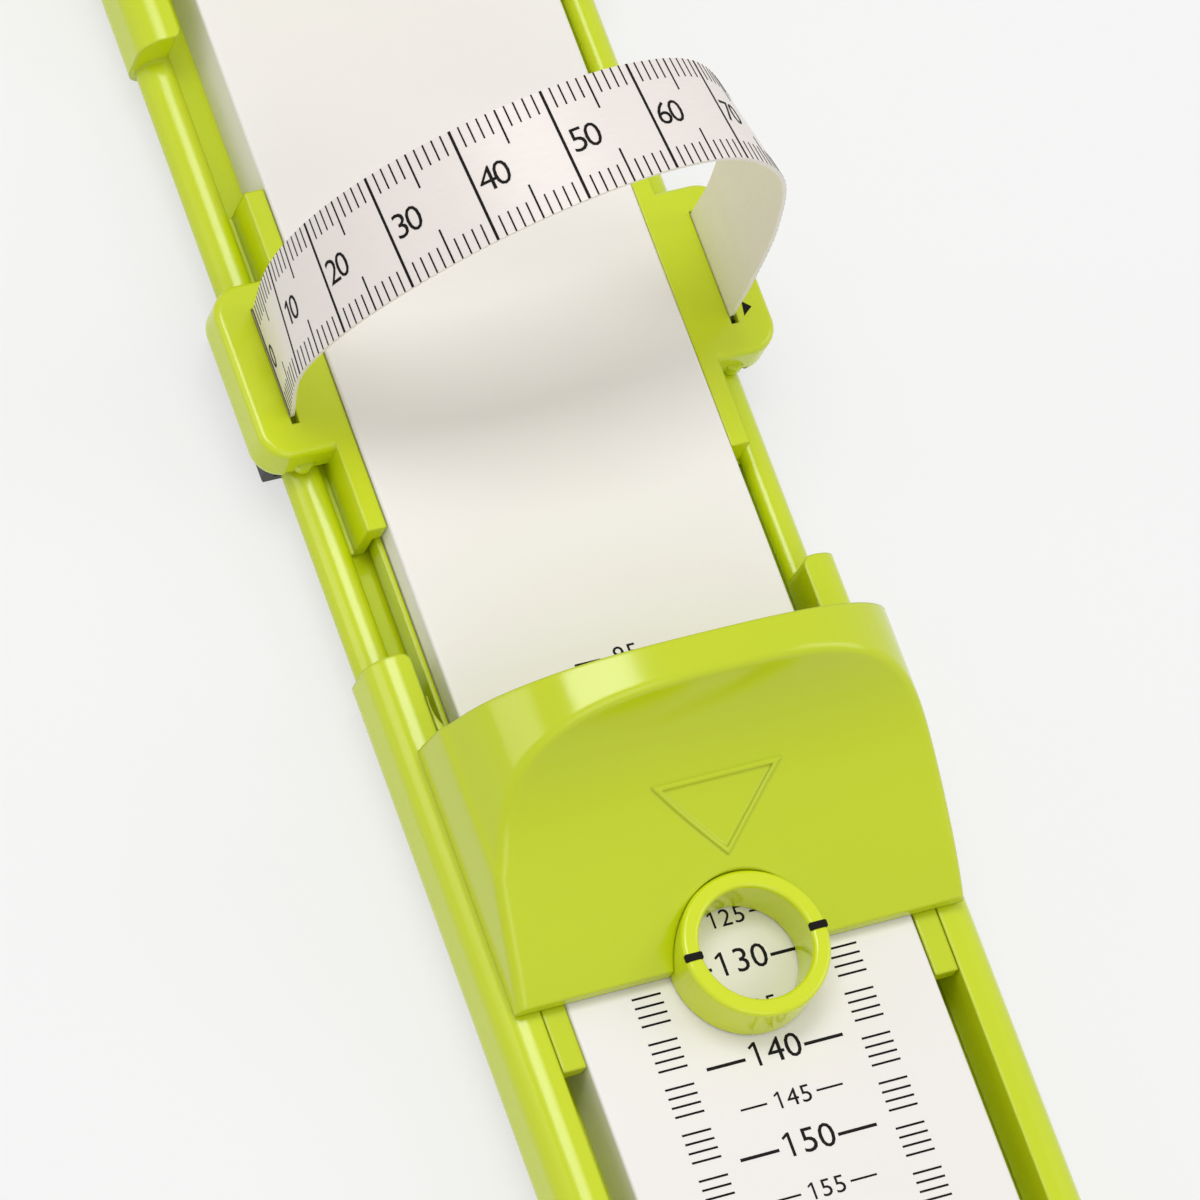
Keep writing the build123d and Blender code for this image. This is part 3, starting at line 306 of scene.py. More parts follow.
# %% Zinc-plated steel
zinc, tree = new_material("zinc-plated steel, tumbled")
place = add(tree, "ShaderNodeTexCoord").outputs["Object"]
plate_tint, tumbled = drifting(tree, place, 0.2, 5.0, "#C9CBCC", "#B9BCC0")
scratch_cells = add(tree, "ShaderNodeTexVoronoi", {"Vector": place, "Scale": 1 / (0.5 * mm)})
plate_gloss = add(tree, "ShaderNodeMapRange", {
    "Value": scratch_cells.outputs["Distance"], "To Min": 0.26, "To Max": 0.42
})
plate_bump = add(tree, "ShaderNodeBump", {
    "Strength": 0.2, "Distance": 0.01 * mm, "Height": tumbled
})
plating = add(tree, "ShaderNodeBsdfPrincipled", {
    "Base Color": plate_tint, "Metallic": 1.0, "Roughness": plate_gloss.outputs["Result"],
    "Normal": plate_bump.outputs["Normal"],
})
add(tree, "ShaderNodeOutputMaterial", {"Surface": plating.outputs["BSDF"]})
print("plating")

# %% [markdown]
# ## Finishes on the solids
# Each solid already has its shape, so it only needs its finish. The list reads like the maker's
# bill of materials.

# %% Give every solid its material
finishes = {
    frame_abs: ["base_frame", "heel_cup", "toe_cap"],
    slider_abs_painted_shade: ["toe_slider", "slider_guide_left", "slider_guide_right"],
    ring_abs_painted_light: ["sight_ring"],
    shoe_abs: ["tape_shoe_left", "tape_shoe_right"],
    deck_styrene: ["deck_plate"],
    film_face: ["measuring_tape", "tape_tail"],
    bridge_abs: ["tape_bridge", "bridge_cover"],
    tab_abs_and_gap_shade: ["pull_tab"],
    rubber: ["rubber_feet"],
    felt: ["slider_drag_pads", "bridge_drag_discs"],
    zinc: ["heel_cup_screws", "deck_screws", "toe_cap_screws", "guide_screws", "cover_screws",
           "tape_anchor_pin", "tape_turn_pin", "tab_rivets"],
}
for material, names in finishes.items():
    for name in names:
        mesh = solids[name].data
        mesh.materials.clear()
        mesh.materials.append(material)
print(sum(len(names) for names in finishes.values()), "solids finished of", len(solids))

# %% [markdown]
# ## A row of printed marks
# Both scales are rows of short bars at even steps, with some left out where a longer bar stands.
# Drawing hundreds of bars by hand would be slow and easy to get wrong, so a small Geometry Nodes
# group makes one row: points on a line, every so many of them dropped, and a bar on each of the
# rest. The points are counted from one, so a row that drops every fifth keeps its first four. A
# bar is a closed box as thin as the ink film, so that it has no loose edges.

# %% Geometry Nodes group for one row of marks
def sockets(tree, inputs):
    """Gives a node group its named inputs and its one geometry output. Returns the inputs."""
    for label, kind in inputs:
        tree.interface.new_socket(label, in_out="INPUT", socket_type="NodeSocket" + kind)
    tree.interface.new_socket("Result", in_out="OUTPUT", socket_type="NodeSocketGeometry")
    return add(tree, "NodeGroupInput").outputs


mark_row = bpy.data.node_groups.new("row of printed marks", "GeometryNodeTree")
given = sockets(mark_row, [("Start", "Vector"), ("Step", "Vector"), ("Count", "Int"),
                           ("Bar", "Vector"), ("Drop Every", "Float")])
points = add(mark_row, "GeometryNodeMeshLine", {
    "Count": given["Count"], "Start Location": given["Start"], "Offset": given["Step"]
}, mode="OFFSET")
index = add(mark_row, "GeometryNodeInputIndex")
counted = add(mark_row, "ShaderNodeMath", {0: index.outputs[0], 1: 1.0})
remainder = add(mark_row, "ShaderNodeMath", {0: counted.outputs[0], 1: given["Drop Every"]},
                operation="MODULO")
dropped = add(mark_row, "FunctionNodeCompare", {0: remainder.outputs[0], 1: 0.5},
              operation="LESS_THAN")
kept = add(mark_row, "GeometryNodeDeleteGeometry", {
    "Geometry": points.outputs["Mesh"], "Selection": dropped.outputs["Result"]
})
bar = add(mark_row, "GeometryNodeMeshCube", {"Size": given["Bar"]})
barred = add(mark_row, "GeometryNodeInstanceOnPoints", {
    "Points": kept.outputs["Geometry"], "Instance": bar.outputs["Mesh"]
})
plain = add(mark_row, "GeometryNodeRealizeInstances", {"Geometry": barred.outputs["Instances"]})
add(mark_row, "NodeGroupOutput", {"Result": plain.outputs["Geometry"]})
no_drop = 500  # a count that no row reaches
print("row of printed marks:", len(mark_row.nodes), "nodes")

# %% [markdown]
# ## From a tree to a plain mesh
# A tree is a recipe. Other programs need the dish, so the next helper sets a modifier's inputs,
# lets Blender evaluate it, and keeps the result as an ordinary mesh. The inputs are found by
# their names in the group and set by their identifiers, before anything is evaluated. Every
# printed tree ends in the same way, with the ink on all its marks.

# %% Helpers that ink and bake a tree
def inked(tree, marks, material):
    """Ends a tree of printed marks: they all get the ink, and go out."""
    done = add(tree, "GeometryNodeSetMaterial", {"Geometry": marks, "Material": material})
    add(tree, "NodeGroupOutput", {"Result": done.outputs[0]})


def baked(name, tree, values, start_mesh=None):
    """Runs a Geometry Nodes tree with these input values and returns the result as an object."""
    source = placed("recipe", start_mesh or bpy.data.meshes.new("recipe"))
    modifier = source.modifiers.new("recipe", "NODES")
    modifier.node_group = tree
    for item in tree.interface.items_tree:
        if item.in_out == "INPUT" and item.name in values:
            modifier[item.identifier] = values[item.name]
    mesh = plain_mesh(source)
    mesh.name = name
    print(name, "has", len(mesh.polygons), "faces")
    return placed(name, mesh)


print("helpers: inked, baked")

# %% [markdown]
# ## The deck's scale
# The scale reads the foot's length from the heel. It is pad-printed: two ladders of millimetre
# bars, a heavy line on both sides of each ten and a fine one at each five. The foot is held
# between the heel cup and the slider's toe wall, but it is read at the ring, which stands 30 mm
# further to the toe side. So the print is moved by as much: its zero would lie 30 mm from the cup.

# %% Deck scale, bars
deck_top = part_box("deck_plate")[1].z
ink_film = 0.02
zero_y = 75.75
first_reading = 95
last_reading = 170


def reading_y(reading):
    """Place along the frame, in metres, of a reading on the deck."""
    return (zero_y - reading) * mm


deck_rows = [
    # distance from the deck's middle, bar length, stroke, first reading, step, drop every
    (11.03, 3.24, 0.23, 96, 1, 5),
    (5.47, 4.34, 0.35, 100, 10, no_drop),
    (4.25, 2.95, 0.22, 95, 10, no_drop),
]
deck_scale = bpy.data.node_groups.new("deck scale", "GeometryNodeTree")
given = sockets(deck_scale, [("Ink", "Material")])
joined = add(deck_scale, "GeometryNodeJoinGeometry")
for side in (-1, 1):
    for distance, length, stroke, start, step, every in deck_rows:
        row = add(deck_scale, "GeometryNodeGroup", {
            "Start": (side * distance * mm, reading_y(start), deck_top + ink_film / 2 * mm),
            "Step": (0, -step * mm, 0),
            "Count": (last_reading - start) // step + 1,
            "Bar": (length * mm, stroke * mm, ink_film * mm),
            "Drop Every": every,
        }, node_tree=mark_row)
        deck_scale.links.new(row.outputs[0], joined.inputs[0])
inked(deck_scale, joined.outputs[0], given["Ink"])
deck_bars = baked("deck_scale_bars", deck_scale, {"Ink": ink})
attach(deck_bars, "frame")

# %% [markdown]
# ## Numerals
# Blender's own font is a plain humanist sans, close to the lettering on such scales, but its 1 is
# a bare stroke. A bare stroke beside a scale line reads as one more mark, so such scales use a 1
# with a flag, and that digit is drawn here from its outline. Each digit becomes a mesh of its own
# and is then fitted to its place and height in the print.

# %% Digits as meshes
flagged_one = [
    (0.215, 0), (0.335, 0), (0.335, 1), (0.235, 1), (0, 0.83), (0.045, 0.74), (0.215, 0.85)
]
one_stem_back, one_stem_front = 0.215, 0.335
one_flag_end = 0.1  # what lies left of it is the flag's tip
glyph_stretch = 1.06
same_place = 1e-7


def plate(name, outline, low, high):
    """The mesh of a flat plate from low to high, its outline of (x, y) run anticlockwise."""
    shape = bmesh.new()
    face = shape.faces.new([shape.verts.new((x, y, low)) for x, y in outline])
    for part in bmesh.ops.extrude_face_region(shape, geom=[face])["geom"]:
        if isinstance(part, bmesh.types.BMVert):
            part.co.z = high
    bmesh.ops.recalc_face_normals(shape, faces=shape.faces)
    mesh = bpy.data.meshes.new(name)
    shape.to_mesh(mesh)
    shape.free()
    return mesh


def digit_mesh(digit, thinned):
    """One digit as a flat-sided mesh: a font glyph, or the flagged 1 from its outline.
    The strokes lose the thinned share of the digit's height on each side."""
    if digit == "1":
        back, front = one_stem_back + thinned, one_stem_front - thinned
        return plate("digit", [
            (min(max(x, back), front) if x > one_flag_end else x, y) for x, y in flagged_one
        ], -1, 1)
    letter = bpy.data.curves.new("digit", "FONT")
    letter.body = digit
    letter.resolution_u = 3
    letter.extrude = 0.01
    letter.offset = -thinned
    return plain_mesh(placed("digit", letter))


def numerals(name, entries, low, high, thinned):
    """One mesh of digits. An entry is (digit, x, y, height), in metres, about the digit's centre.
    The ink film runs from low to high, and the strokes are thinned on each side."""
    whole = bmesh.new()
    for digit, x, y, height in entries:
        mesh = digit_mesh(digit, thinned)
        corners = [v.co for v in mesh.vertices]
        left, right = min(c.x for c in corners), max(c.x for c in corners)
        foot, head = min(c.y for c in corners), max(c.y for c in corners)
        for c in corners:
            c.x = x + (c.x - (left + right) / 2) / (head - foot) * height * glyph_stretch
            c.y = y + ((c.y - foot) / (head - foot) - 0.5) * height
            c.z = high if c.z > 0 else low
        whole.from_mesh(mesh)
        bpy.data.meshes.remove(mesh)
    bmesh.ops.remove_doubles(whole, verts=whole.verts, dist=same_place)
    mesh = bpy.data.meshes.new(name)
    whole.to_mesh(mesh)
    whole.free()
    return mesh


print("the flagged 1 has", len(flagged_one), "corners")

# %% Deck scale, numbers
# where the digits of a number stand, from the deck's middle, their height and their lift
tens_print = ([-2.18, 0.13, 2.11], 2.59, 0.29)
fives_print = ([-1.53, 0.08, 1.58], 1.82, 0.03)
deck_entries = []
for reading in range(first_reading, last_reading + 1, 5):
    places, tall, lift = tens_print if reading % 10 == 0 else fives_print
    digits = str(reading)
    # a number of two digits uses the last two places, moved back to the deck's middle
    spare = len(places) - len(digits)
    shift = spare * (places[-1] - places[-2]) / 2
    for digit, x in zip(digits, places[spare:]):
        deck_entries.append((digit, (x - shift) * mm, reading_y(reading) + lift * mm, tall * mm))
deck_numbers = placed("deck_scale_numbers", numerals(
    "deck_scale_numbers", deck_entries, deck_top, deck_top + ink_film * mm, 0.0
))
deck_numbers.data.materials.append(ink)
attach(deck_numbers, "frame")
print(len(deck_entries), "digits on the deck")

# %% [markdown]
# ## The tape
# The tape is printed flat and then bent into its loop, and it is made that way here. Everything on
# it is laid out flat first: x along the tape, y across it, z above its middle. A second group
# then wraps any flat mesh round the tape's route. A springy strip never bends into a flat hoop: it
# leans towards the heel at the crown, and its toe edge stands out further on the right side. So
# the route is given by both edges of the tape. The table holds a place on the heel edge and one
# on the toe edge for every 10 mm of tape above the shoes. Inside the shoes the tape lies square:
# on the left it hooks round its anchor pin, and on the right it goes down a shaft and turns in
# under the frame.

# %% Route of the tape
tape_width = 12.0
tape_thickness = 0.45
shoe_top = 11.6
heel_edge_y = 26.8
toe_edge_y = 14.8
loop_edges = [
    ((-25.20, 26.65, 11.60), (-25.25, 14.35, 11.60)),
    ((-25.83, 27.02, 21.66), (-26.59, 14.73, 21.60)),
    ((-24.55, 26.67, 31.58), (-24.36, 14.38, 31.09)),
    ((-20.56, 26.35, 40.55), (-19.41, 14.13, 39.66)),
    ((-13.13, 26.72, 47.00), (-11.82, 14.52, 46.15)),
    ((-3.70, 27.57, 50.36), (-2.51, 15.34, 49.85)),
    ((6.21, 28.59, 50.33), (7.35, 16.35, 50.47)),
    ((15.27, 29.35, 46.13), (16.51, 17.17, 47.23)),
    ((21.21, 28.95, 38.06), (23.11, 16.94, 39.91)),
    ((24.13, 27.93, 28.62), (25.03, 15.75, 30.00)),
    ((25.14, 27.02, 18.93), (25.10, 14.75, 19.69)),
    ((24.95, 26.65, 11.60), (24.95, 14.35, 11.60)),
]
# (x, z) places inside the shoes, and the radii of the tape's middle in its bends
anchor_pin, left_slot_foot = Vector((-27.75, 7.4)), Vector((-25.1, 10.4))
right_slot_mouth, right_slot_foot = (25.0, 11.6), (25.1, 10.4)
shaft_head, shaft_foot, channel = (28.0, 6.6), (28.0, 2.2), (23.0, 2.2)
pin_hook, slight_bend, turn_bend = 0.775, 0.45, 1.3


def rounded(before, corner, after, radius, steps=6):
    """Points that round a corner of a polyline."""
    before, corner, after = Vector(before), Vector(corner), Vector(after)
    start = corner + (before - corner).normalized() * radius
    end = corner + (after - corner).normalized() * radius
    return [(1 - t) ** 2 * start + 2 * t * (1 - t) * corner + t * t * end
            for t in [i / steps for i in range(steps + 1)]]


def curved(points, steps=10):
    """A smooth line through points (Catmull and Rom's rule), with this many steps to each gap."""
    ends = [2 * points[0] - points[1], *points, 2 * points[-1] - points[-2]]
    line = []
    for a, b, c, d in zip(ends, ends[1:], ends[2:], ends[3:]):
        for t in [i / steps for i in range(steps)]:
            line.append(b + 0.5 * t * ((c - a) + t * (2 * a - 5 * b + 4 * c - d)
                                       + t * t * (3 * b - a - 3 * c + d)))
    return line + [points[-1]]


def hidden(places):
    """Both edges of the tape inside a shoe, where it lies square, from (x, z) places."""
    return ([Vector((x, heel_edge_y, z)) for x, z in places],
            [Vector((x, toe_edge_y, z)) for x, z in places])


def run(line):
    """The length of a line of points."""
    return sum((b - a).length for a, b in zip(line, line[1:]))


hook = anchor_pin + (left_slot_foot - anchor_pin).normalized() * pin_hook
left_leg = hidden([hook, left_slot_foot])
right_leg = hidden([
    *rounded(right_slot_mouth, right_slot_foot, shaft_head, slight_bend),
    *rounded(right_slot_foot, shaft_head, shaft_foot, slight_bend),
    *rounded(shaft_head, shaft_foot, channel, turn_bend),
    Vector(channel),
])
edges = [left_leg[i] + curved([Vector(row[i]) for row in loop_edges]) + right_leg[i]
         for i in (0, 1)]
middle = [(heel + toe) / 2 for heel, toe in zip(*edges)]
route_length = run(middle)
loop_start = run(middle[:len(left_leg[0]) + 1])
print("tape", round(route_length, 1), "mm, and its loop starts at", round(loop_start, 2), "mm")

# %% [markdown]
# ## The route as a mesh that carries directions
# A group can only look things up on geometry. The route becomes a chain of vertices down the
# middle of the tape, and every vertex stores, as an attribute, the vector from the middle to the
# heel edge. Sampling the chain then gives place, direction and sideways vector at once.

# %% Route mesh with its sideways vectors
route_mesh = bpy.data.meshes.new("tape route")
links = [(i, i + 1) for i in range(len(middle) - 1)]
route_mesh.from_pydata([place * mm for place in middle], links, [])
sideways = route_mesh.attributes.new("sideways", "FLOAT_VECTOR", "POINT")
for slot, heel, toe in zip(sideways.data, *edges):
    slot.vector = (heel - toe) / 2 * mm
route = placed("tape route", route_mesh)
print("route of", len(middle), "points")

# %% Geometry Nodes group that wraps a flat mesh on the route
wrap_inputs = [("Route", "Object"), ("Half Width", "Float")]
wrap_values = {"Route": route, "Half Width": tape_width / 2 * mm}
wrap = bpy.data.node_groups.new("wrap on a route", "GeometryNodeTree")
given = sockets(wrap, [("Flat", "Geometry"), *wrap_inputs])
path = add(wrap, "GeometryNodeObjectInfo", {"Object": given["Route"]})
line = add(wrap, "GeometryNodeMeshToCurve", {"Mesh": path.outputs["Geometry"]})
stored = add(wrap, "GeometryNodeInputNamedAttribute", {"Name": "sideways"},
             data_type="FLOAT_VECTOR")
flat = add(wrap, "GeometryNodeInputPosition")
laid = add(wrap, "ShaderNodeSeparateXYZ", {0: flat.outputs[0]})
found = add(wrap, "GeometryNodeSampleCurve", {
    "Curves": line.outputs["Curve"], "Length": laid.outputs["X"],
}, mode="LENGTH", use_all_curves=True, data_type="FLOAT_VECTOR")
wrap.links.new(stored.outputs["Attribute"], found.inputs["Value"])
outward = add(wrap, "ShaderNodeVectorMath", {
    0: found.outputs["Tangent"], 1: found.outputs["Value"]
}, operation="CROSS_PRODUCT")
upright = add(wrap, "ShaderNodeVectorMath", {0: outward.outputs["Vector"]}, operation="NORMALIZE")
share = add(wrap, "ShaderNodeMath", {
    0: laid.outputs["Y"], 1: given["Half Width"]
}, operation="DIVIDE")
across = add(wrap, "ShaderNodeVectorMath", {
    0: found.outputs["Value"], "Scale": share.outputs[0]
}, operation="SCALE")
above = add(wrap, "ShaderNodeVectorMath", {
    0: upright.outputs[0], "Scale": laid.outputs["Z"]
}, operation="SCALE")
offset = add(wrap, "ShaderNodeVectorMath", {0: across.outputs[0], 1: above.outputs[0]})
wrapped_place = add(wrap, "ShaderNodeVectorMath", {
    0: found.outputs["Position"], 1: offset.outputs[0]
})
wrapped = add(wrap, "GeometryNodeSetPosition", {
    "Geometry": given["Flat"], "Position": wrapped_place.outputs[0]
})
whole = add(wrap, "GeometryNodeRealizeInstances", {"Geometry": wrapped.outputs[0]})
add(wrap, "NodeGroupOutput", {"Result": whole.outputs[0]})
print("wrap:", len(wrap.nodes), "nodes")

# %% [markdown]
# ## The strip itself
# The flat strip is a box cut into half-millimetre lengths, so that it bends smoothly. Which faces
# look down is noted before it is wrapped, because only a flat mesh still knows, and those faces
# get the cream back at the end. Its long edges stay sharp and everything else is shaded smooth.

# %% Tape strip
looks_down = -0.5  # upward part of a normal
sharp_fold = 1.0  # radians
strip_tree = bpy.data.node_groups.new("tape strip", "GeometryNodeTree")
given = sockets(strip_tree, [("Size", "Vector"), ("Pieces", "Int"), ("Face", "Material"),
                             ("Back", "Material"), *wrap_inputs])
box = add(strip_tree, "GeometryNodeMeshCube", {
    "Size": given["Size"], "Vertices X": given["Pieces"], "Vertices Y": 5
})
size = add(strip_tree, "ShaderNodeSeparateXYZ", {0: given["Size"]})
half_length = add(strip_tree, "ShaderNodeMath", {
    0: size.outputs["X"], 1: 0.5
}, operation="MULTIPLY")
shift = add(strip_tree, "ShaderNodeCombineXYZ", {"X": half_length.outputs[0]})
laid = add(strip_tree, "GeometryNodeTransform", {
    "Geometry": box.outputs["Mesh"], "Translation": shift.outputs[0]
})
normal = add(strip_tree, "ShaderNodeSeparateXYZ", {
    0: add(strip_tree, "GeometryNodeInputNormal").outputs[0]
})
under = add(strip_tree, "FunctionNodeCompare", {0: normal.outputs["Z"], 1: looks_down},
            operation="LESS_THAN")
noted = add(strip_tree, "GeometryNodeStoreNamedAttribute", {
    "Geometry": laid.outputs[0], "Name": "back", "Value": under.outputs["Result"]
}, data_type="BOOLEAN", domain="FACE")
bent = add(strip_tree, "GeometryNodeGroup", {
    "Flat": noted.outputs[0], "Route": given["Route"], "Half Width": given["Half Width"]
}, node_tree=wrap)
fold = add(strip_tree, "GeometryNodeInputMeshEdgeAngle")
sharp = add(strip_tree, "FunctionNodeCompare", {0: fold.outputs[0], 1: sharp_fold},
            operation="GREATER_THAN")
soft = add(strip_tree, "GeometryNodeSetShadeSmooth", {
    "Geometry": bent.outputs[0], "Shade Smooth": True
}, domain="FACE")
creased = add(strip_tree, "GeometryNodeSetShadeSmooth", {
    "Geometry": soft.outputs[0], "Selection": sharp.outputs["Result"], "Shade Smooth": False
}, domain="EDGE")
faced = add(strip_tree, "GeometryNodeSetMaterial", {
    "Geometry": creased.outputs[0], "Material": given["Face"]
})
is_back = add(strip_tree, "GeometryNodeInputNamedAttribute", {"Name": "back"},
              data_type="BOOLEAN")
backed = add(strip_tree, "GeometryNodeSetMaterial", {
    "Geometry": faced.outputs[0], "Selection": is_back.outputs["Attribute"],
    "Material": given["Back"],
})
add(strip_tree, "NodeGroupOutput", {"Result": backed.outputs[0]})
tape_strip = baked("tape_strip", strip_tree, {
    "Size": (route_length * mm, tape_width * mm, tape_thickness * mm),
    "Pieces": int(2 * route_length), "Face": film_face, "Back": film_back, **wrap_values,
})

# %% [markdown]
# ## The tape's print
# The tape's bars use the same row group as the deck, laid out flat, then wrapped. Every tenth bar
# crosses the whole tape, the fives are long, and the single millimetres are short. The zero
# lies just outside the left shoe's slot.

# %% Tape scale, bars
tape_zero = loop_start + 0.5
last_mark = 100
bar_ink = 0.03
bar_z = (tape_thickness + bar_ink) / 2
tape_rows = [
    # y of the bar's middle, bar length, stroke, first mark, step, drop every
    (0.0, tape_width, 0.3, 0, 10, no_drop),
    (4.15, 3.7, 0.2, 5, 10, no_drop),
    (-4.15, 3.7, 0.2, 5, 10, no_drop),
    (4.9, 2.2, 0.17, 1, 1, 5),
    (-4.9, 2.2, 0.17, 1, 1, 5),
]
tape_scale = bpy.data.node_groups.new("tape scale", "GeometryNodeTree")
given = sockets(tape_scale, [("Ink", "Material"), *wrap_inputs])
joined = add(tape_scale, "GeometryNodeJoinGeometry")
for y, length, stroke, start, step, every in tape_rows:
    row = add(tape_scale, "GeometryNodeGroup", {
        "Start": ((tape_zero + start) * mm, y * mm, bar_z * mm),
        "Step": (step * mm, 0, 0),
        "Count": (last_mark - start) // step + 1,
        "Bar": (stroke * mm, length * mm, bar_ink * mm),
        "Drop Every": every,
    }, node_tree=mark_row)
    tape_scale.links.new(row.outputs[0], joined.inputs[0])
bent = add(tape_scale, "GeometryNodeGroup", {
    "Flat": joined.outputs[0], "Route": given["Route"], "Half Width": given["Half Width"]
}, node_tree=wrap)
inked(tape_scale, bent.outputs[0], given["Ink"])
tape_bars = baked("tape_scale_bars", tape_scale, {"Ink": ink, **wrap_values})

# %% Tape scale, numbers
first_digit = 1.5
digit_pitch = 1.6
digit_tall = 2.5
digit_ink = 0.04
digit_thinned = 0.005
tape_entries = []
for mark in range(0, last_mark + 1, 10):
    for place, digit in enumerate(str(mark)):
        x = tape_zero + mark + first_digit + digit_pitch * place
        tape_entries.append((digit, x * mm, 0.0, digit_tall * mm))
flat_numbers = numerals("tape_scale_numbers", tape_entries, tape_thickness / 2 * mm,
                        (tape_thickness / 2 + digit_ink) * mm, digit_thinned)
number_wrap = bpy.data.node_groups.new("tape numbers", "GeometryNodeTree")
given = sockets(number_wrap, [("Flat", "Geometry"), ("Ink", "Material"), *wrap_inputs])
bent = add(number_wrap, "GeometryNodeGroup", {
    "Flat": given["Flat"], "Route": given["Route"], "Half Width": given["Half Width"]
}, node_tree=wrap)
inked(number_wrap, bent.outputs[0], given["Ink"])
tape_numbers = baked("tape_scale_numbers", number_wrap, {"Ink": ink, **wrap_values}, flat_numbers)
bpy.data.objects.remove(route)

# %% The tape rides on the carriage and lowers when it is pulled
for piece in (tape_strip, tape_bars, tape_numbers):
    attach(piece, "tape_carriage")
    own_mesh(piece)
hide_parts("measuring_tape")
print("the strip takes the place of the plain tape, and its print goes with it")

# %% [markdown]
# ## Index marks
# The ring's two notches are filled with black, so that they line up with the reading. The fill
# runs a little over the heel-side edge of each notch, as a stroke of paint does. The tape is read
# against a black triangle printed beside the right-hand slot.

# %% Index marks and pointer
slider_reading = 130
ring_y = reading_y(slider_reading)
ring_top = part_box("sight_ring")[1].z
mark_inner, mark_outer = 5.98 * mm, 7.95 * mm
mark_heel, mark_toe = ring_y + 0.55 * mm, ring_y - 0.27 * mm
mark_corner = 0.12 * mm
mark_low, mark_high = ring_top - 0.29 * mm, ring_top + 0.02 * mm


def painted(name, outline, low, high):
    """A thin plate of black ink on the object."""
    made = placed(name, plate(name, outline, low, high))
    made.data.materials.append(ink)
    return made


for side, hand in ((-1, "left"), (1, "right")):
    low_x, high_x = sorted((side * mark_inner, side * mark_outer))
    outline = [
        (low_x + mark_corner, mark_toe), (high_x - mark_corner, mark_toe),
        (high_x, mark_toe + mark_corner), (high_x, mark_heel - mark_corner),
        (high_x - mark_corner, mark_heel), (low_x + mark_corner, mark_heel),
        (low_x, mark_heel - mark_corner), (low_x, mark_toe + mark_corner),
    ]
    mark = painted("index_mark_" + hand, outline, mark_low, mark_high)
    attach(mark, "toe_stop")
pointer_outline = [(26.60 * mm, 15.80 * mm), (26.34 * mm, 14.12 * mm), (27.49 * mm, 14.98 * mm)]
pointer = painted("tape_pointer", pointer_outline,
                  shoe_top * mm - 0.01 * mm, shoe_top * mm + 0.02 * mm)
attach(pointer, "tape_carriage")
print("index marks and pointer")

# %% [markdown]
# ## Light and stage
# A product of glossy plastic is lit by soft boxes, because what the gloss shows is the shape of
# the lamp. A long one hangs above and behind the heel and draws the bright patch on the slider's
# crown. A narrow strip on the left draws the thin lines along the rails. Two weaker boxes, at the
# right and at the toe side, and a pale room fill the rest. The floor is pale matt paper. Where it
# is looked at, straight or in a gloss, part of it glows by itself, so that the object's shadow on
# it stays faint, as in a white sweep. The room, too, looks almost white there and gives less
# light.

# %% Soft boxes
lamps = [
    # name, place, point it is turned to, width and height in metres, watts
    ("overhead", (-0.24, 0.36, 1.15), (-0.24, 0, 0), (0.75, 0.36), 5.2),
    ("left strip", (-1.1, 0.35, 0.4), (0, 0, 0.02), (0.12, 0.8), 0.8),
    ("right", (1.0, -0.2, 0.8), (0, 0, 0), (0.7, 0.7), 2.6),
    ("toe side", (-0.05, -0.85, 1.05), (0, 0, 0), (0.8, 0.8), 2.6),
]
for name, place, aim, (width, height), watts in lamps:
    light = bpy.data.lights.new(name, "AREA")
    light.shape = "RECTANGLE"
    light.size, light.size_y = width, height
    light.energy = watts
    lamp = placed(name, light)
    lamp.location = place
    lamp.rotation_euler = (Vector(aim) - Vector(place)).to_track_quat("-Z", "Y").to_euler()
print(len(lamps), "soft boxes")

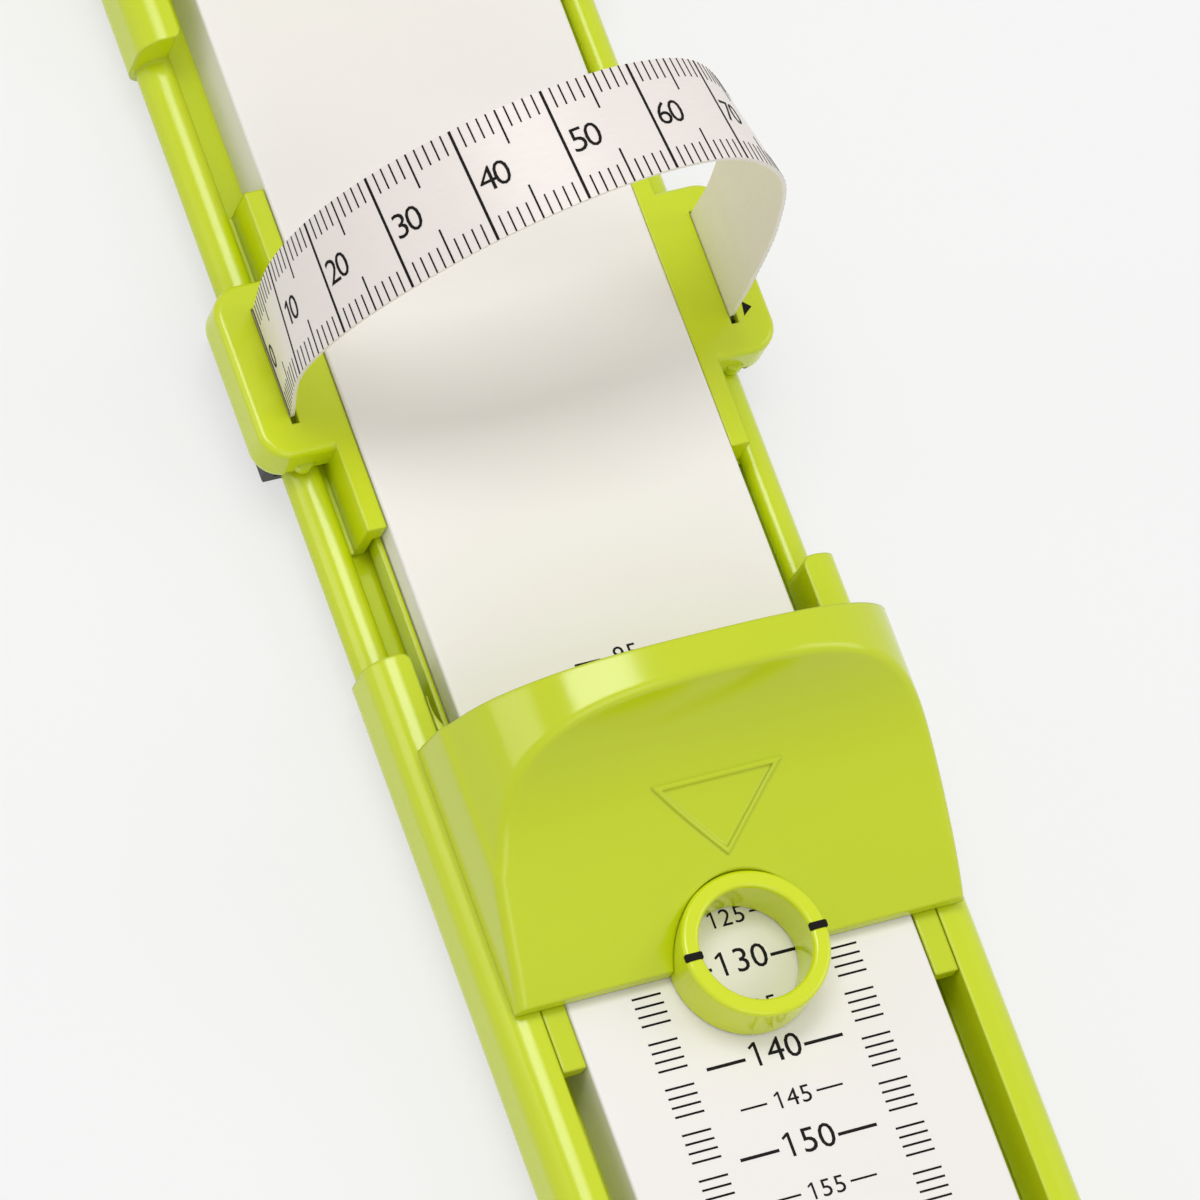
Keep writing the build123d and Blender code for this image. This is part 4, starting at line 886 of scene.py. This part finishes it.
# %% Room and floor
room_light = 0.52
floor_glow = 0.7  # share of the floor that glows by itself where it is looked at
floor_reach = 3


def seen_rays(tree):
    """Is 1 for rays of the camera and for those that show in a gloss or through glass, else 0."""
    rays = add(tree, "ShaderNodeLightPath").outputs
    gloss_or_glass = add(tree, "ShaderNodeMath", {
        0: rays["Is Glossy Ray"], 1: rays["Is Transmission Ray"]
    }, operation="MAXIMUM")
    return add(tree, "ShaderNodeMath", {
        0: rays["Is Camera Ray"], 1: gloss_or_glass.outputs[0]
    }, operation="MAXIMUM").outputs[0]


world = bpy.data.worlds.new("pale room")
scene.world = world
world.use_nodes = True
room = world.node_tree
room.nodes.clear()
fill = add(room, "ShaderNodeBackground", {"Color": colour("#FFFFFF"), "Strength": room_light})
seen = add(room, "ShaderNodeBackground", {"Color": colour("#F5F5F5"), "Strength": 1.0})
mixed = add(room, "ShaderNodeMixShader", {
    0: seen_rays(room), 1: fill.outputs[0], 2: seen.outputs[0]
})
add(room, "ShaderNodeOutputWorld", {"Surface": mixed.outputs[0]})

floor_material, tree = new_material("pale matt floor")
place = add(tree, "ShaderNodeTexCoord").outputs["Object"]
paper, _ = drifting(tree, place, 500, 2.0, "#F5F5F5", "#F3F3F3")
matt = add(tree, "ShaderNodeBsdfDiffuse", {"Color": paper})
glow = add(tree, "ShaderNodeEmission", {"Color": colour("#F5F5F5"), "Strength": 1.0})
looked_at = add(tree, "ShaderNodeMath", {0: seen_rays(tree), 1: floor_glow},
                operation="MULTIPLY")
pale = add(tree, "ShaderNodeMixShader", {
    0: looked_at.outputs[0], 1: matt.outputs[0], 2: glow.outputs[0]
})
add(tree, "ShaderNodeOutputMaterial", {"Surface": pale.outputs[0]})
floor_mesh = bpy.data.meshes.new("floor")
corners = [(x * floor_reach, y * floor_reach, 0) for x, y in ((-1, -1), (1, -1), (1, 1), (-1, 1))]
floor_mesh.from_pydata(corners, [], [(0, 1, 2, 3)])
floor_mesh.materials.append(floor_material)
floor = placed("floor", floor_mesh)
scene.view_settings.view_transform = "Standard"
print("room and floor")
